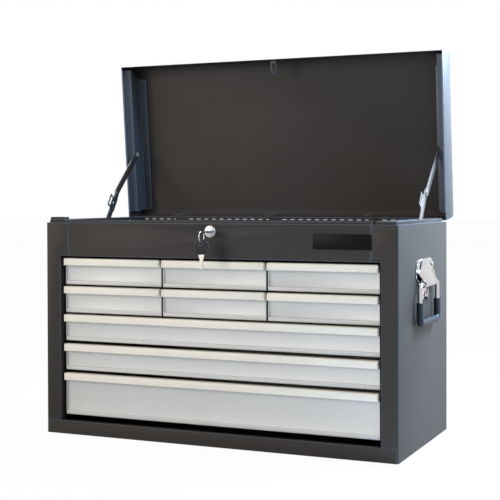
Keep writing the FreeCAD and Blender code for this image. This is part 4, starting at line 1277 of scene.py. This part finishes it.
@dataclass
class Studio:
    """White studio with a warm key, two cool lamps on the right and the camera.

    Attributes:
        eye: Camera place in millimetres.
        yaw: Turn of the view from straight back towards the left, in radians.
        pitch: Tilt of the view above level, in radians.
        roll: Roll of the view, in radians.
        focal: Focal length in sensor widths.
        shift: Vertical shift in sensor widths.
        sensor: Width of the sensor in millimetres.
        ambient: Strength of the world on matt surfaces.
        floor_side: Side of the floor, in metres.
        floor_drop: How far the floor lies under the chest, in metres.
        floor_grey: Linear grey of the floor on matt surfaces.
        floor_white: Share of plain white in what is seen of the floor.
        lamps: The lamps.
    """

    eye: Place = (857.3, -1933.2, 425.2)
    yaw: float = 0.4151
    pitch: float = -0.014
    roll: float = -0.0026
    focal: float = 2.3232
    shift: float = -0.0724
    sensor: float = 36.0
    ambient: float = 0.46
    floor_side: float = 40.0
    floor_drop: float = 0.0005
    floor_grey: float = 0.6
    floor_white: float = 0.965
    lamps: tuple[SoftBox, ...] = (
        SoftBox("key", (-1.7, -2.6, 1.0), 1.2, 43.0, (1.0, 0.955, 0.90)),
        SoftBox("side", (1.45, 0.0, 1.3), 0.5, 30.0, (0.38, 0.64, 1.0)),
        SoftBox("rear", (0.75, 0.45, 1.0), 0.35, 54.0, (0.56, 0.77, 1.0)),
    )

    def build(self) -> None:
        """Set up the camera, the lamps, the floor and the world."""
        self.camera()
        for lamp in self.lamps:
            lamp.build()
        self.floor()
        self.world()
        bpy.context.scene.view_settings.view_transform = "Standard"

    def camera(self) -> None:
        """Stand the camera in front of the chest, to the right."""
        Workpiece.rest()
        bpy.ops.object.camera_add()
        camera = bpy.context.object
        right = Vector((math.cos(self.yaw), math.sin(self.yaw), 0))
        ahead_level = Vector((-math.sin(self.yaw), math.cos(self.yaw), 0))
        up_level = Vector((0, 0, 1))
        ahead = math.cos(self.pitch) * ahead_level + math.sin(self.pitch) * up_level
        up = -math.sin(self.pitch) * ahead_level + math.cos(self.pitch) * up_level
        frame_right = math.cos(self.roll) * right + math.sin(self.roll) * up
        frame_up = -math.sin(self.roll) * right + math.cos(self.roll) * up
        turn = Matrix((frame_right, frame_up, -ahead)).transposed().to_4x4()
        camera.matrix_world = Matrix.Translation(Vector(self.eye) * MM) @ turn
        camera.data.sensor_width = self.sensor
        camera.data.lens = self.sensor * self.focal
        camera.data.shift_y = self.shift
        bpy.context.scene.camera = camera

    def floor(self) -> None:
        """Lay a pale floor that keeps a faint shadow."""
        Workpiece.rest()
        bpy.ops.mesh.primitive_plane_add(size=self.floor_side,
                                         location=(0, 0, -self.floor_drop))
        floor = bpy.context.object
        floor.name = "studio_floor"
        material = bpy.data.materials.new("studio floor")
        material.use_nodes = True
        material.node_tree.nodes.clear()
        wiring = Wiring(material.node_tree)
        matt = wiring.add("BsdfDiffuse", {"Color": (*[self.floor_grey] * 3, 1.0)})
        white = wiring.add("Emission")
        share = wiring.add("Math", {0: wiring.backdrop_rays(), 1: self.floor_white},
                           operation="MULTIPLY")
        mix = wiring.add("MixShader", {
            "Fac": share.outputs["Value"], 1: matt.outputs["BSDF"],
            2: white.outputs["Emission"]})
        wiring.add("OutputMaterial", {"Surface": mix.outputs["Shader"]})
        floor.data.materials.append(material)

    def world(self) -> None:
        """Surround the chest with white that lights matt surfaces less than it shows in gloss."""
        world = bpy.data.worlds.new("studio")
        bpy.context.scene.world = world
        world.use_nodes = True
        wiring = Wiring(world.node_tree)
        strength = wiring.add("MapRange", {
            "Value": wiring.backdrop_rays(), "To Min": self.ambient, "To Max": 1.0})
        wiring.feed(world.node_tree.nodes["Background"], {
            "Color": (1.0, 1.0, 1.0, 1.0), "Strength": strength.outputs["Result"]})


# ---------------------------------------------------------------- assembly
def dress_remaining(nodes: dict[str, bpy.types.Object]) -> None:
    """Give every node that is still shown its procedural finish.

    Args:
        nodes: The frame's nodes.
    """
    for name, node in nodes.items():
        if node.hide_render:
            continue
        node.data.materials.clear()
        node.data.materials.append(NODE_FINISHES[name].material())
        LOG.info("%s keeps its own mesh", name)


def main() -> None:
    """Load the frame, model every sub-assembly on it and set up the studio."""
    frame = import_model()
    nodes = frame["nodes"]
    for group in sheet_groups():
        group.build(nodes)
    DrawerStack().build()
    Lock().build()
    dress_remaining(nodes)
    Studio().build()


if __name__ == "__main__":
    logging.basicConfig(level=logging.INFO)
    main()
